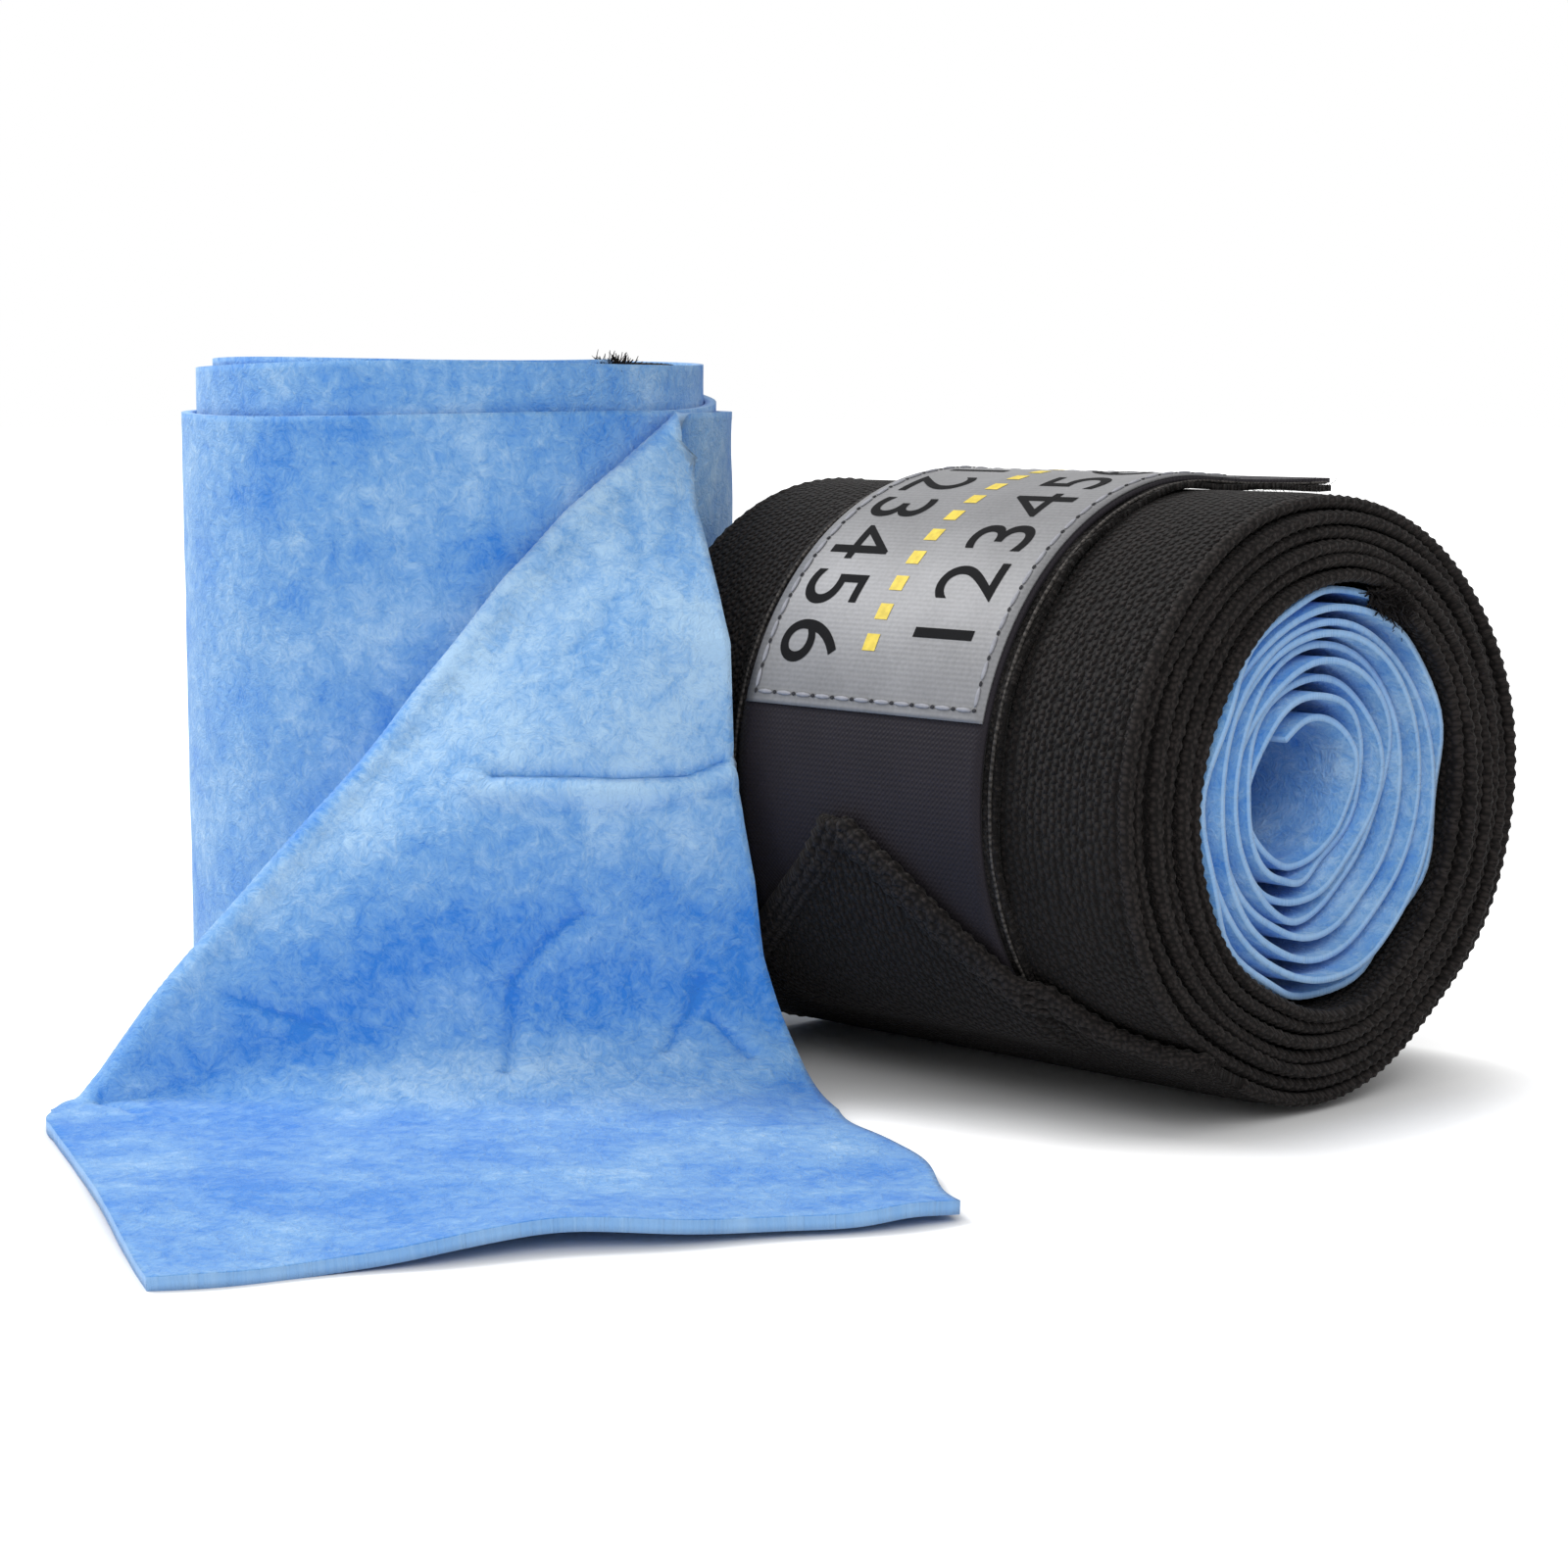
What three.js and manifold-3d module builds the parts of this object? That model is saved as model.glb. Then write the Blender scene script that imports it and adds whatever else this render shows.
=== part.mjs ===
// A pair of cooling wraps: each is a strip of blue chamois sheet sewn to a black
// knitted elastic band, whose pointed end carries a hook-and-loop strap.
// The open wrap is wound sheet-out and stands on its end, with its sheet folded
// over and laid on the ground. The closed wrap lies on its side, strap fastened.
// Millimetres, +Z up. The closed roll's axis runs along X.

import * as THREE from 'three';
import Module from 'manifold-3d';
import { mergeVertices } from 'three/addons/utils/BufferGeometryUtils.js';

const wasm = await Module();
wasm.setup();

// Cloth
const wrapWidth = 100;
const sheetThickness = 1.8;
const sheetSlack = 0.6;
const elasticThickness = 1.8;
const elasticSlack = 0.35;
const clearance = 0.3;
const facetAngle = 15;

// Strap, label and thread
const strapWidth = 48;
const strapOffset = 2;            // the strap's middle is this far past the wrap's middle
const tapeThickness = 0.7;
const hookTapeWidth = 53;
const hookTapeThickness = 0.9;
const labelMargin = 0.6;          // strap left bare beside the label
const labelThickness = 0.4;
const threadWidth = 0.7;
const threadThickness = 0.3;
const stitchInset = 1.6;          // label edge to its stitching
const seamWidth = 3;              // the seam between sheet and elastic
const overlockWidth = 3;
const overlockThickness = 0.8;

// Closed roll: angles turn from the front (-Y), up over the top
const closedEyeRadius = 10.5;
const closedSheetStart = 60;
const closedSheetTurns = 8;
const closedSeamAngle = 120;      // where the sheet meets the elastic
const closedElasticTurns = 6;
const pointedEndFoot = -52.5;     // the elastic's full width ends here
const pointedEndTip = -6;
const pointedTipWidth = 5;
const pointedTipOffset = 4;       // the tip's place past the wrap's middle
const strapRootFrom = -46;
const strapHingeAngle = 30;       // the strap is shown peeling from here on
const strapLift = 97.5;           // the strap leaves the roll here, and runs on straight
const strapTipLength = 29;
const hookTipShortfall = 3;       // strap tip left bare of hook tape
const labelFrom = 15;
const labelTipShortfall = 22;     // strap tip left bare of label

// Open roll: angles are seen from above, and its turns grow clockwise
const openRadius = 46;
const foldApexAngle = 15;         // the fold starts here, at the sheet's top edge
const leaveAngle = -14.7;         // the sheet leaves the roll here
const runLength = 82;             // from there to the fold's foot
const outerTurnArc = 345;
const innerSheetTurns = 2;
const openElasticTurns = 6.25;
const telescopeLift = 7.5;        // the inner turns stand this much higher
const openPointedArc = 96;
const openStrapArc = 315;
const openLabelArc = 190;
const openLabelFrom = 60;

// Flap and free end
const flapLean = 3.5;             // the flap's right edge stands this far off the closed roll
const flapLeanAngles = [27, -7];  // on the closed roll, where the edge comes nearest
const flapLeanReaches = [21, 28.5];
const flapRightReach = 36.5;      // where the edge meets the ground, from the closed roll's far end
const flapStandOff = 2.6;         // the soft fold holds the flap this far off the roll
const flapLift = 3;               // the flap's lower edge stays this high, above its bend
const foldGap = 3.6;              // the folded run's upper edge stays this far inside the fold
const freeHeading = -28.2;        // direction of the free end, from +X
const freeLeftLength = 97;
const freeRightLength = 78;
const bendGap = 1.5;              // the free end starts this far past its bend

// Places
const rollGap = 5.5;              // between the open roll and the closed roll's far end
const closedBack = 38;            // the closed roll's axis, behind the open roll's

const sheetPitch = sheetThickness + sheetSlack;
const elasticPitch = elasticThickness + elasticSlack;

const rad = THREE.MathUtils.degToRad;

const materials = {
  sheet: new THREE.MeshStandardMaterial({ color: 0x8cb8ea, roughness: 0.85 }),
  elastic: new THREE.MeshStandardMaterial({ color: 0x1f1c1c, roughness: 0.95 }),
  strap: new THREE.MeshStandardMaterial({ color: 0x302e35, roughness: 0.8 }),
  hook: new THREE.MeshStandardMaterial({ color: 0x161515, roughness: 0.95 }),
  label: new THREE.MeshStandardMaterial({ color: 0x9a9aa0, roughness: 0.45, metalness: 0.2 }),
  thread: new THREE.MeshStandardMaterial({ color: 0xc4c4cc, roughness: 0.7 }),
};

function named(name, geometry, material) {
  const mesh = new THREE.Mesh(geometry, materials[material]);
  mesh.name = name;
  return mesh;
}

// Stations on an arc or spiral, each with its outward normal
function arcPath(from, to, radiusAt) {
  const turn = Math.sign(to - from);
  const angles = [from];
  const first = turn > 0 ? Math.floor(from / facetAngle) + 1 : Math.ceil(from / facetAngle) - 1;
  for (let k = first; (to - k * facetAngle) * turn > 0.5; k += turn) {
    if ((k * facetAngle - from) * turn > 0.5) angles.push(k * facetAngle);
  }
  angles.push(to);
  return angles.map((angle) => {
    const normal = new THREE.Vector2(Math.cos(rad(angle)), Math.sin(rad(angle)));
    return { point: normal.clone().multiplyScalar(radiusAt(angle)), normal };
  });
}

// A strip seen on its edge: it follows the path and has its thickness outside it
function band(path, thickness, width) {
  const outside = path.map(({ point, normal }) => point.clone().addScaledVector(normal, thickness));
  const outline = [...path.map(({ point }) => point), ...outside.reverse()];
  return new THREE.ExtrudeGeometry(new THREE.Shape(outline), { depth: width, bevelEnabled: false });
}

// Gives each end of an extrusion its own height at each place
function trim(geometry, lowAt, highAt) {
  const place = geometry.attributes.position;
  for (let i = 0; i < place.count; i += 1) {
    const at = new THREE.Vector2(place.getX(i), place.getY(i));
    place.setZ(i, place.getZ(i) > 0 ? highAt(at) : lowAt(at));
  }
  return geometry;
}

function toSolid(geometry) {
  const bare = geometry.clone();
  bare.deleteAttribute('normal');
  bare.deleteAttribute('uv');
  const merged = mergeVertices(bare, 1e-4);
  return new wasm.Manifold(new wasm.Mesh({
    numProp: 3,
    vertProperties: new Float32Array(merged.attributes.position.array),
    triVerts: new Uint32Array(merged.index.array),
  }));
}

function fromSolid(solid) {
  const mesh = solid.getMesh();
  const geometry = new THREE.BufferGeometry();
  geometry.setAttribute('position', new THREE.BufferAttribute(new Float32Array(mesh.vertProperties), 3));
  geometry.setIndex(new THREE.BufferAttribute(new Uint32Array(mesh.triVerts), 1));
  return geometry;
}

const cut = (body, tool) => fromSolid(toSolid(body).subtract(toSolid(tool)));
const angleAt = (at) => THREE.MathUtils.radToDeg(Math.atan2(at.y, at.x));
const shifted = (geometry, along) => geometry.translate(0, 0, along);

// The middle of the strap, measured across the wrap
const strapMiddle = wrapWidth / 2 + strapOffset;
const centred = (path, thickness, width, middle) => shifted(band(path, thickness, width), middle - width / 2);

// ---------------------------------------------------------------- closed roll
// Built with the roll's axis along local z; angles from the front, up over the top

const closedSheetEnd = 360 * closedSheetTurns + closedSeamAngle;
const closedSheetRadius = (angle) => closedEyeRadius + sheetPitch * (angle - closedSheetStart) / 360;
const seamRadius = closedSheetRadius(closedSheetEnd);
// The elastic's first turn climbs over the sheet's end, and the others over the elastic
const closedElasticRadius = (angle) => {
  const turns = (angle - closedSeamAngle) / 360;
  const overSheet = (sheetThickness + elasticSlack) * Math.min(turns, 1);
  return seamRadius + overSheet + elasticPitch * Math.max(turns - 1, 0);
};
const seamAngle = THREE.MathUtils.radToDeg(seamWidth / seamRadius);
const seamGap = THREE.MathUtils.radToDeg(clearance / seamRadius);
const elasticFrom = closedSeamAngle + seamAngle + 2 * seamGap;
const elasticEnd = pointedEndFoot + 360 * (closedElasticTurns + 1);

// The elastic's outside, where the strap lies: one turn in from its end
const lastTurn = (angle) => angle + 360 * closedElasticTurns;
const strapBase = (angle) => closedElasticRadius(lastTurn(angle)) + elasticThickness + clearance;
const tapeBase = (angle) => strapBase(angle) + hookTapeThickness + clearance;
const labelBase = (angle) => tapeBase(angle) + tapeThickness + clearance;
const threadBase = (angle) => labelBase(angle) + labelThickness + clearance;
const pointedBase = (angle) => tapeBase(angle) + tapeThickness + clearance;
const closedAxisHeight = closedElasticRadius(elasticEnd - pointedEndFoot - 90) + elasticThickness;

function closedSheet() {
  return band(arcPath(closedSheetStart, closedSheetEnd, closedSheetRadius), sheetThickness, wrapWidth);
}

function closedSeam() {
  const from = closedSeamAngle + seamGap;
  return band(arcPath(from, from + seamAngle, closedElasticRadius), sheetThickness, wrapWidth);
}

function closedElastic() {
  return band(arcPath(elasticFrom, elasticEnd, closedElasticRadius), elasticThickness, wrapWidth);
}

// Full width at the foot, narrowing to the tip
function pointedSpan(at, inset) {
  const along = (angleAt(at) - pointedEndFoot) / (pointedEndTip - pointedEndFoot);
  const tip = wrapWidth / 2 + pointedTipOffset;
  const low = THREE.MathUtils.lerp(0, tip - pointedTipWidth / 2, along);
  const high = THREE.MathUtils.lerp(wrapWidth, tip + pointedTipWidth / 2, along);
  return [low + inset, high - inset];
}

function pointedEnd() {
  const gap = THREE.MathUtils.radToDeg(clearance / pointedBase(pointedEndFoot));
  const solid = band(arcPath(pointedEndFoot + gap, pointedEndTip, pointedBase), elasticThickness, 1);
  return trim(solid, (at) => pointedSpan(at, 0)[0], (at) => pointedSpan(at, 0)[1]);
}

// The overlocked rim of the pointed end: a V of thread on its two slanting edges
function pointedOverlock() {
  const base = (angle) => pointedBase(angle) + elasticThickness + clearance;
  const below = (angle) => base(angle) - overlockThickness;
  const gap = THREE.MathUtils.radToDeg(clearance / base(pointedEndFoot));
  const stop = pointedEndTip - THREE.MathUtils.radToDeg(2 * overlockWidth / base(0));
  const rim = band(arcPath(pointedEndFoot + gap, pointedEndTip, base), overlockThickness, 1);
  trim(rim, (at) => pointedSpan(at, 0)[0], (at) => pointedSpan(at, 0)[1]);
  const field = band(arcPath(pointedEndFoot - 5, stop, below), 3 * overlockThickness, 1);
  trim(field, (at) => pointedSpan(at, overlockWidth)[0], (at) => pointedSpan(at, overlockWidth)[1]);
  return cut(rim, field);
}

// The strap hugs the roll up to the lift, then runs on straight for the tip's length
function strapPath(from, radiusAt, tipLength) {
  const path = arcPath(from, strapLift, radiusAt);
  const { point, normal } = path[path.length - 1];
  const onward = new THREE.Vector2(-normal.y, normal.x);
  path.push({ point: point.clone().addScaledVector(onward, tipLength), normal });
  return path;
}

const strapFrom = strapHingeAngle + THREE.MathUtils.radToDeg(clearance / tapeBase(0));
const strapRootTo = strapHingeAngle - THREE.MathUtils.radToDeg(clearance / tapeBase(0));

function strapRoot() {
  return centred(arcPath(strapRootFrom, strapRootTo, tapeBase), tapeThickness, strapWidth, strapMiddle);
}

function hookRoot() {
  return centred(arcPath(strapRootFrom, strapRootTo, strapBase), hookTapeThickness, hookTapeWidth, strapMiddle);
}

function strapTape() {
  return centred(strapPath(strapFrom, tapeBase, strapTipLength), tapeThickness, strapWidth, strapMiddle);
}

function hookTape() {
  const path = strapPath(strapFrom, strapBase, strapTipLength - hookTipShortfall);
  return centred(path, hookTapeThickness, hookTapeWidth, strapMiddle);
}

const labelWidth = strapWidth - 2 * labelMargin;
const labelTip = strapTipLength - labelTipShortfall;

function labelRoot() {
  return centred(arcPath(labelFrom, strapRootTo, labelBase), labelThickness, labelWidth, strapMiddle);
}

function label() {
  return centred(strapPath(strapFrom, labelBase, labelTip), labelThickness, labelWidth, strapMiddle);
}

// One line of thread round the label, in two parts that meet at the peel
const stitchedWidth = labelWidth - 2 * stitchInset;
const belowThread = (angle) => threadBase(angle) - threadThickness;
const insetAngle = THREE.MathUtils.radToDeg(stitchInset / threadBase(0));
const lineAngle = THREE.MathUtils.radToDeg(threadWidth / threadBase(0));

function threadAround(outer, inner) {
  const line = centred(outer, threadThickness, stitchedWidth, strapMiddle);
  return cut(line, centred(inner, 3 * threadThickness, stitchedWidth - 2 * threadWidth, strapMiddle));
}

function labelStitchingRoot() {
  const from = labelFrom + insetAngle;
  const inner = arcPath(from + lineAngle, strapRootTo + lineAngle, belowThread);
  return threadAround(arcPath(from, strapRootTo, threadBase), inner);
}

function labelStitching() {
  const tip = labelTip - stitchInset;
  const inner = strapPath(strapFrom - lineAngle, belowThread, tip - threadWidth);
  return threadAround(strapPath(strapFrom, threadBase, tip), inner);
}

const closedRoll = new THREE.Group();
closedRoll.add(
  named('closed_cooling_sheet', closedSheet(), 'sheet'),
  named('closed_join_seam', closedSeam(), 'thread'),
  named('closed_elastic_band', closedElastic(), 'elastic'),
  named('closed_pointed_end', pointedEnd(), 'elastic'),
  named('closed_end_overlock', pointedOverlock(), 'elastic'),
  named('closed_strap_root', strapRoot(), 'strap'),
  named('closed_hook_tape_root', hookRoot(), 'hook'),
  named('closed_strap_tape', strapTape(), 'strap'),
  named('closed_hook_tape', hookTape(), 'hook'),
  named('closed_label_root', labelRoot(), 'label'),
  named('closed_label_stitching_root', labelStitchingRoot(), 'thread'),
  named('closed_label', label(), 'label'),
  named('closed_label_stitching', labelStitching(), 'thread'),
);

// Local x faces the front (-Y), local y faces up, so local z runs along -X
const closedBasis = new THREE.Matrix4().makeBasis(
  new THREE.Vector3(0, -1, 0),
  new THREE.Vector3(0, 0, 1),
  new THREE.Vector3(-1, 0, 0),
);
closedRoll.quaternion.setFromRotationMatrix(closedBasis);
const closedFarEnd = new THREE.Vector3(openRadius + rollGap, closedBack, closedAxisHeight);
closedRoll.position.copy(closedFarEnd).setX(closedFarEnd.x + wrapWidth);

// ------------------------------------------------------------------ open roll
// Angles fall as the turns grow, so a turn's start has the larger angle

const outerStart = foldApexAngle + outerTurnArc;
const openSheetRadius = (angle) => openRadius - sheetThickness - sheetPitch * (angle - foldApexAngle) / 360;
const openSeamAngle = outerStart + 360 * innerSheetTurns;
const openSeamRadius = openSheetRadius(openSeamAngle);
const openElasticRadius = (angle) => openSeamRadius - elasticPitch * (angle - openSeamAngle) / 360;
const openSeamArc = THREE.MathUtils.radToDeg(seamWidth / openSeamRadius);
const openSeamGap = THREE.MathUtils.radToDeg(clearance / openSeamRadius);
const openElasticFrom = openSeamAngle + openSeamArc + 2 * openSeamGap;
const openElasticEnd = openElasticFrom + 360 * openElasticTurns;
const turnGap = THREE.MathUtils.radToDeg(clearance / openRadius);

const openMiddle = telescopeLift + wrapWidth / 2;
const openHookRadius = (angle) => openElasticRadius(angle) - clearance - hookTapeThickness;
const openTapeRadius = (angle) => openHookRadius(angle) - clearance - tapeThickness;
const openLabelRadius = (angle) => openTapeRadius(angle) - clearance - labelThickness;
const openThreadRadius = (angle) => openLabelRadius(angle) - clearance - threadThickness;

function outerTurn() {
  return band(arcPath(outerStart - turnGap, foldApexAngle, openSheetRadius), sheetThickness, wrapWidth);
}

function innerTurns() {
  const solid = band(arcPath(openSeamAngle, outerStart, openSheetRadius), sheetThickness, wrapWidth);
  return shifted(solid, telescopeLift);
}

function openSeam() {
  const from = openSeamAngle + openSeamGap + openSeamArc;
  const solid = band(arcPath(from, openSeamAngle + openSeamGap, openElasticRadius), sheetThickness, wrapWidth);
  return shifted(solid, telescopeLift);
}

function openElastic() {
  const solid = band(arcPath(openElasticEnd, openElasticFrom, openElasticRadius), elasticThickness, wrapWidth);
  return shifted(solid, telescopeLift);
}

// The elastic's inner end, narrowing to a point inside the roll
function openPointedEnd() {
  const gap = THREE.MathUtils.radToDeg(clearance / openElasticRadius(openElasticEnd));
  const foot = openElasticEnd + gap;
  const path = arcPath(foot + openPointedArc, foot, openElasticRadius);
  const share = (at) => {
    const past = THREE.MathUtils.euclideanModulo(angleAt(at) - foot + 1, 360) - 1;
    return THREE.MathUtils.clamp(past / openPointedArc, 0, 1);
  };
  const half = (at) => THREE.MathUtils.lerp(wrapWidth / 2, pointedTipWidth / 2, share(at));
  const solid = band(path, elasticThickness, 1);
  return trim(solid, (at) => openMiddle - half(at), (at) => openMiddle + half(at));
}

// The strap lies in the roll's eye, hooks outward and label inward
function openStrapPiece([from, arc], radiusAt, thickness, width) {
  const path = arcPath(openElasticEnd + from + arc, openElasticEnd + from, radiusAt);
  return centred(path, thickness, width, openMiddle);
}

function openLabelStitching() {
  const angleOf = (length) => THREE.MathUtils.radToDeg(length / openThreadRadius(openElasticEnd));
  const below = (angle) => openThreadRadius(angle) - threadThickness;
  const inset = angleOf(stitchInset);
  const line = angleOf(threadWidth);
  const rimSpan = [openLabelFrom + inset, openLabelArc - 2 * inset];
  const fieldSpan = [rimSpan[0] + line, rimSpan[1] - 2 * line];
  const rim = openStrapPiece(rimSpan, openThreadRadius, threadThickness, stitchedWidth);
  return cut(rim, openStrapPiece(fieldSpan, below, 3 * threadThickness, stitchedWidth - 2 * threadWidth));
}

// The sheet leaves the roll, runs straight to the fold's foot, and is cut to the
// fold's slope, which climbs from the ground at the foot to the top at the apex
const [apexStation, leaveStation] = [foldApexAngle, leaveAngle].map((angle) => {
  const normal = new THREE.Vector2(Math.cos(rad(angle)), Math.sin(rad(angle)));
  return { point: normal.clone().multiplyScalar(openRadius), normal };
});
const runDirection = new THREE.Vector2(leaveStation.normal.y, -leaveStation.normal.x);
const foldFoot = leaveStation.point.clone().addScaledVector(runDirection, runLength);
const foldReach = foldFoot.clone().sub(apexStation.point).dot(runDirection);

function foldedRun() {
  const radiusAt = () => openRadius - sheetThickness;
  const path = arcPath(foldApexAngle - turnGap, leaveAngle, radiusAt);
  const { point, normal } = path[path.length - 1];
  path.push({ point: point.clone().addScaledVector(runDirection, runLength - 2 * foldGap), normal });
  const slope = wrapWidth / foldReach;
  const height = (at) => (foldFoot.clone().sub(at).dot(runDirection) - foldGap) * slope;
  const solid = band(path, sheetThickness, 1);
  return trim(solid, () => 0, (at) => THREE.MathUtils.clamp(height(at), sheetThickness, wrapWidth));
}

// The flap's right edge, from the apex down past the closed roll to the ground
function besideClosedRoll(angle, reach) {
  const distance = threadBase(angle) + threadThickness + flapLean;
  const across = new THREE.Vector3(0, -Math.cos(rad(angle)), Math.sin(rad(angle)));
  return closedFarEnd.clone().addScaledVector(across, distance).add(new THREE.Vector3(reach, 0, 0));
}

// The fold bears on the roll from its apex down to its knee, where the sheet leaves the roll
const offRoll = ({ point, normal }, height) => {
  const at = point.clone().addScaledVector(normal, flapStandOff);
  return new THREE.Vector3(at.x, at.y, height);
};
const flapApex = offRoll(apexStation, wrapWidth - sheetThickness);
const flapKnee = offRoll(leaveStation, wrapWidth * runLength / foldReach);
const flapRight = closedFarEnd.clone().add(new THREE.Vector3(flapRightReach, -tapeBase(0), 0)).setZ(0);
const flapEdge = [
  flapApex,
  ...flapLeanAngles.map((angle, i) => besideClosedRoll(angle, flapLeanReaches[i])),
  flapRight.clone().setZ(flapLift),
];

// One flat triangular plate, its thickness behind it
function plate(corners) {
  const [first, second, third] = corners;
  const along = second.clone().sub(first).normalize();
  const facing = along.clone().cross(third.clone().sub(first)).normalize();
  const up = facing.clone().cross(along);
  const inPlane = corners.map((corner) => {
    const from = corner.clone().sub(first);
    return new THREE.Vector2(from.dot(along), from.dot(up));
  });
  const options = { depth: sheetThickness, bevelEnabled: false };
  const solid = new THREE.ExtrudeGeometry(new THREE.Shape(inPlane), options);
  solid.translate(0, 0, -sheetThickness).applyMatrix4(new THREE.Matrix4().makeBasis(along, up, facing));
  return solid.translate(first.x, first.y, first.z);
}

// The flap: a fan of plates from the fold's foot to its right edge
function flap() {
  const foot = new THREE.Vector3(foldFoot.x, foldFoot.y, flapLift);
  const [nearest, ...lower] = flapEdge.slice(1);
  const corners = [[flapKnee, nearest, flapApex], [foot, nearest, flapKnee]];
  lower.forEach((corner, i) => corners.push([foot, corner, flapEdge[i + 1]]));
  return fromSolid(corners.map((each) => toSolid(plate(each))).reduce((whole, piece) => whole.add(piece)));
}

const freeDirection = new THREE.Vector2(Math.cos(rad(freeHeading)), Math.sin(rad(freeHeading)));
const bendRight = new THREE.Vector2(flapRight.x, flapRight.y);

function freeEnd() {
  const across = bendRight.clone().sub(foldFoot).normalize();
  const away = new THREE.Vector2(across.y, -across.x);
  const start = (corner) => corner.clone().addScaledVector(freeDirection, bendGap / freeDirection.dot(away));
  const outline = [
    start(foldFoot),
    foldFoot.clone().addScaledVector(freeDirection, freeLeftLength),
    bendRight.clone().addScaledVector(freeDirection, freeRightLength),
    start(bendRight),
  ];
  return new THREE.ExtrudeGeometry(new THREE.Shape(outline), { depth: sheetThickness, bevelEnabled: false });
}

const strapSpan = [0, openStrapArc];
const labelSpan = [openLabelFrom, openLabelArc];

const openRoll = new THREE.Group();
openRoll.add(
  named('open_sheet_outer_turn', outerTurn(), 'sheet'),
  named('open_sheet_inner_turns', innerTurns(), 'sheet'),
  named('open_sheet_folded_run', foldedRun(), 'sheet'),
  named('open_sheet_flap', flap(), 'sheet'),
  named('open_sheet_free_end', freeEnd(), 'sheet'),
  named('open_join_seam', openSeam(), 'thread'),
  named('open_elastic_band', openElastic(), 'elastic'),
  named('open_pointed_end', openPointedEnd(), 'elastic'),
  named('open_hook_tape', openStrapPiece(strapSpan, openHookRadius, hookTapeThickness, hookTapeWidth), 'hook'),
  named('open_strap_tape', openStrapPiece(strapSpan, openTapeRadius, tapeThickness, strapWidth), 'strap'),
  named('open_label', openStrapPiece(labelSpan, openLabelRadius, labelThickness, labelWidth), 'label'),
  named('open_label_stitching', openLabelStitching(), 'thread'),
);

// The origin is on the ground, at the middle of the pair's footprint
const wrapPair = new THREE.Group();
wrapPair.add(openRoll, closedRoll);
const footprint = new THREE.Box3().setFromObject(wrapPair, true).getCenter(new THREE.Vector3());
wrapPair.position.set(-footprint.x, -footprint.y, 0);
wrapPair.updateMatrixWorld(true);

export default wrapPair;
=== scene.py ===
import random
from math import copysign, cos, degrees, exp, hypot, pi, radians, sin, tau

import bmesh
import bpy
import numpy as np
from mathutils import Matrix, Vector, noise


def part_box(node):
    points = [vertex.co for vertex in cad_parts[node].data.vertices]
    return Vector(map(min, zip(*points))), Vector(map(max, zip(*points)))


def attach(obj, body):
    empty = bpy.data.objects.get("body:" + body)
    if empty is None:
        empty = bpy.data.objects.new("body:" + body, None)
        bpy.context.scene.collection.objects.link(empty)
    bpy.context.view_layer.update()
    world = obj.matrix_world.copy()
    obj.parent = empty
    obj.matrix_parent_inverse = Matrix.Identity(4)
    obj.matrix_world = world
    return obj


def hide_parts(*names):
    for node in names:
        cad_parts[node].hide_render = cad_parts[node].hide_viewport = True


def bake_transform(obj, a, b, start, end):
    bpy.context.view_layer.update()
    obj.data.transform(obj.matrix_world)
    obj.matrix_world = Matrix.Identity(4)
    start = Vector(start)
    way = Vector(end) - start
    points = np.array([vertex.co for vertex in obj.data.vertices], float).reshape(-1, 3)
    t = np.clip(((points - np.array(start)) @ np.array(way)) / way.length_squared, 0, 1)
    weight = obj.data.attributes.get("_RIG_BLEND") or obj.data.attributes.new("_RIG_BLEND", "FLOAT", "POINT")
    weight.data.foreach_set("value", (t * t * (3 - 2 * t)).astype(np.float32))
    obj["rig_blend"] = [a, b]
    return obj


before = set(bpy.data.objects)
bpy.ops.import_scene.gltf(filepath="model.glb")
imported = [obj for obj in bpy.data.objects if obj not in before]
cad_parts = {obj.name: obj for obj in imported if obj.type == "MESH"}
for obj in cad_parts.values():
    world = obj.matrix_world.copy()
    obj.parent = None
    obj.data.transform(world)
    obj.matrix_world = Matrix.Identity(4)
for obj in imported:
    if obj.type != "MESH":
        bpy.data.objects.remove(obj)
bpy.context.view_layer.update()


# ---------- open cooling sheet
# One strip of blue chamois. It is wound sheet-out, leaves the roll at the front, is
# folded over on the slant so its inner face shows, and comes down flat on the ground.

open_low, open_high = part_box("open_sheet_outer_turn")
free_low, free_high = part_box("open_sheet_free_end")
roll_middle = Vector((open_low.x + 0.0449, open_high.y - 0.0455, 0))
wrap_width = open_high.z - open_low.z
sheet_thick = 0.0018
sheet_radius = 0.0451
sheet_pitch = 0.0024
apex_angle, leave_angle, seam_angle = 15.0, -14.7, 1080.0
arc_run = sheet_radius * radians(apex_angle - leave_angle)
run_length = 0.082
fold_run = arc_run + run_length
fold_length = hypot(fold_run, wrap_width)
fold_radius = 0.0021
fold_over = pi * fold_radius
across_fold = Vector((wrap_width, fold_run)) / fold_length
turned_at = fold_over / across_fold.x
bend_left, bend_right = fold_run + turned_at, turned_at + 0.111
free_left, free_right = 0.097, 0.078
left_slant, right_slant = 0.145, 0.112
# how far the soft fold stands proud of a straight crease, from apex to foot
fold_bow = ([0, 0.1, 0.2, 0.3, 0.4, 0.5, 0.6, 0.8, 0.95, 1.1],
            [0, 0.003, 0.0048, 0.0046, 0.0034, 0.0025, 0.002, 0.0015, 0.0004, 0])
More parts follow.
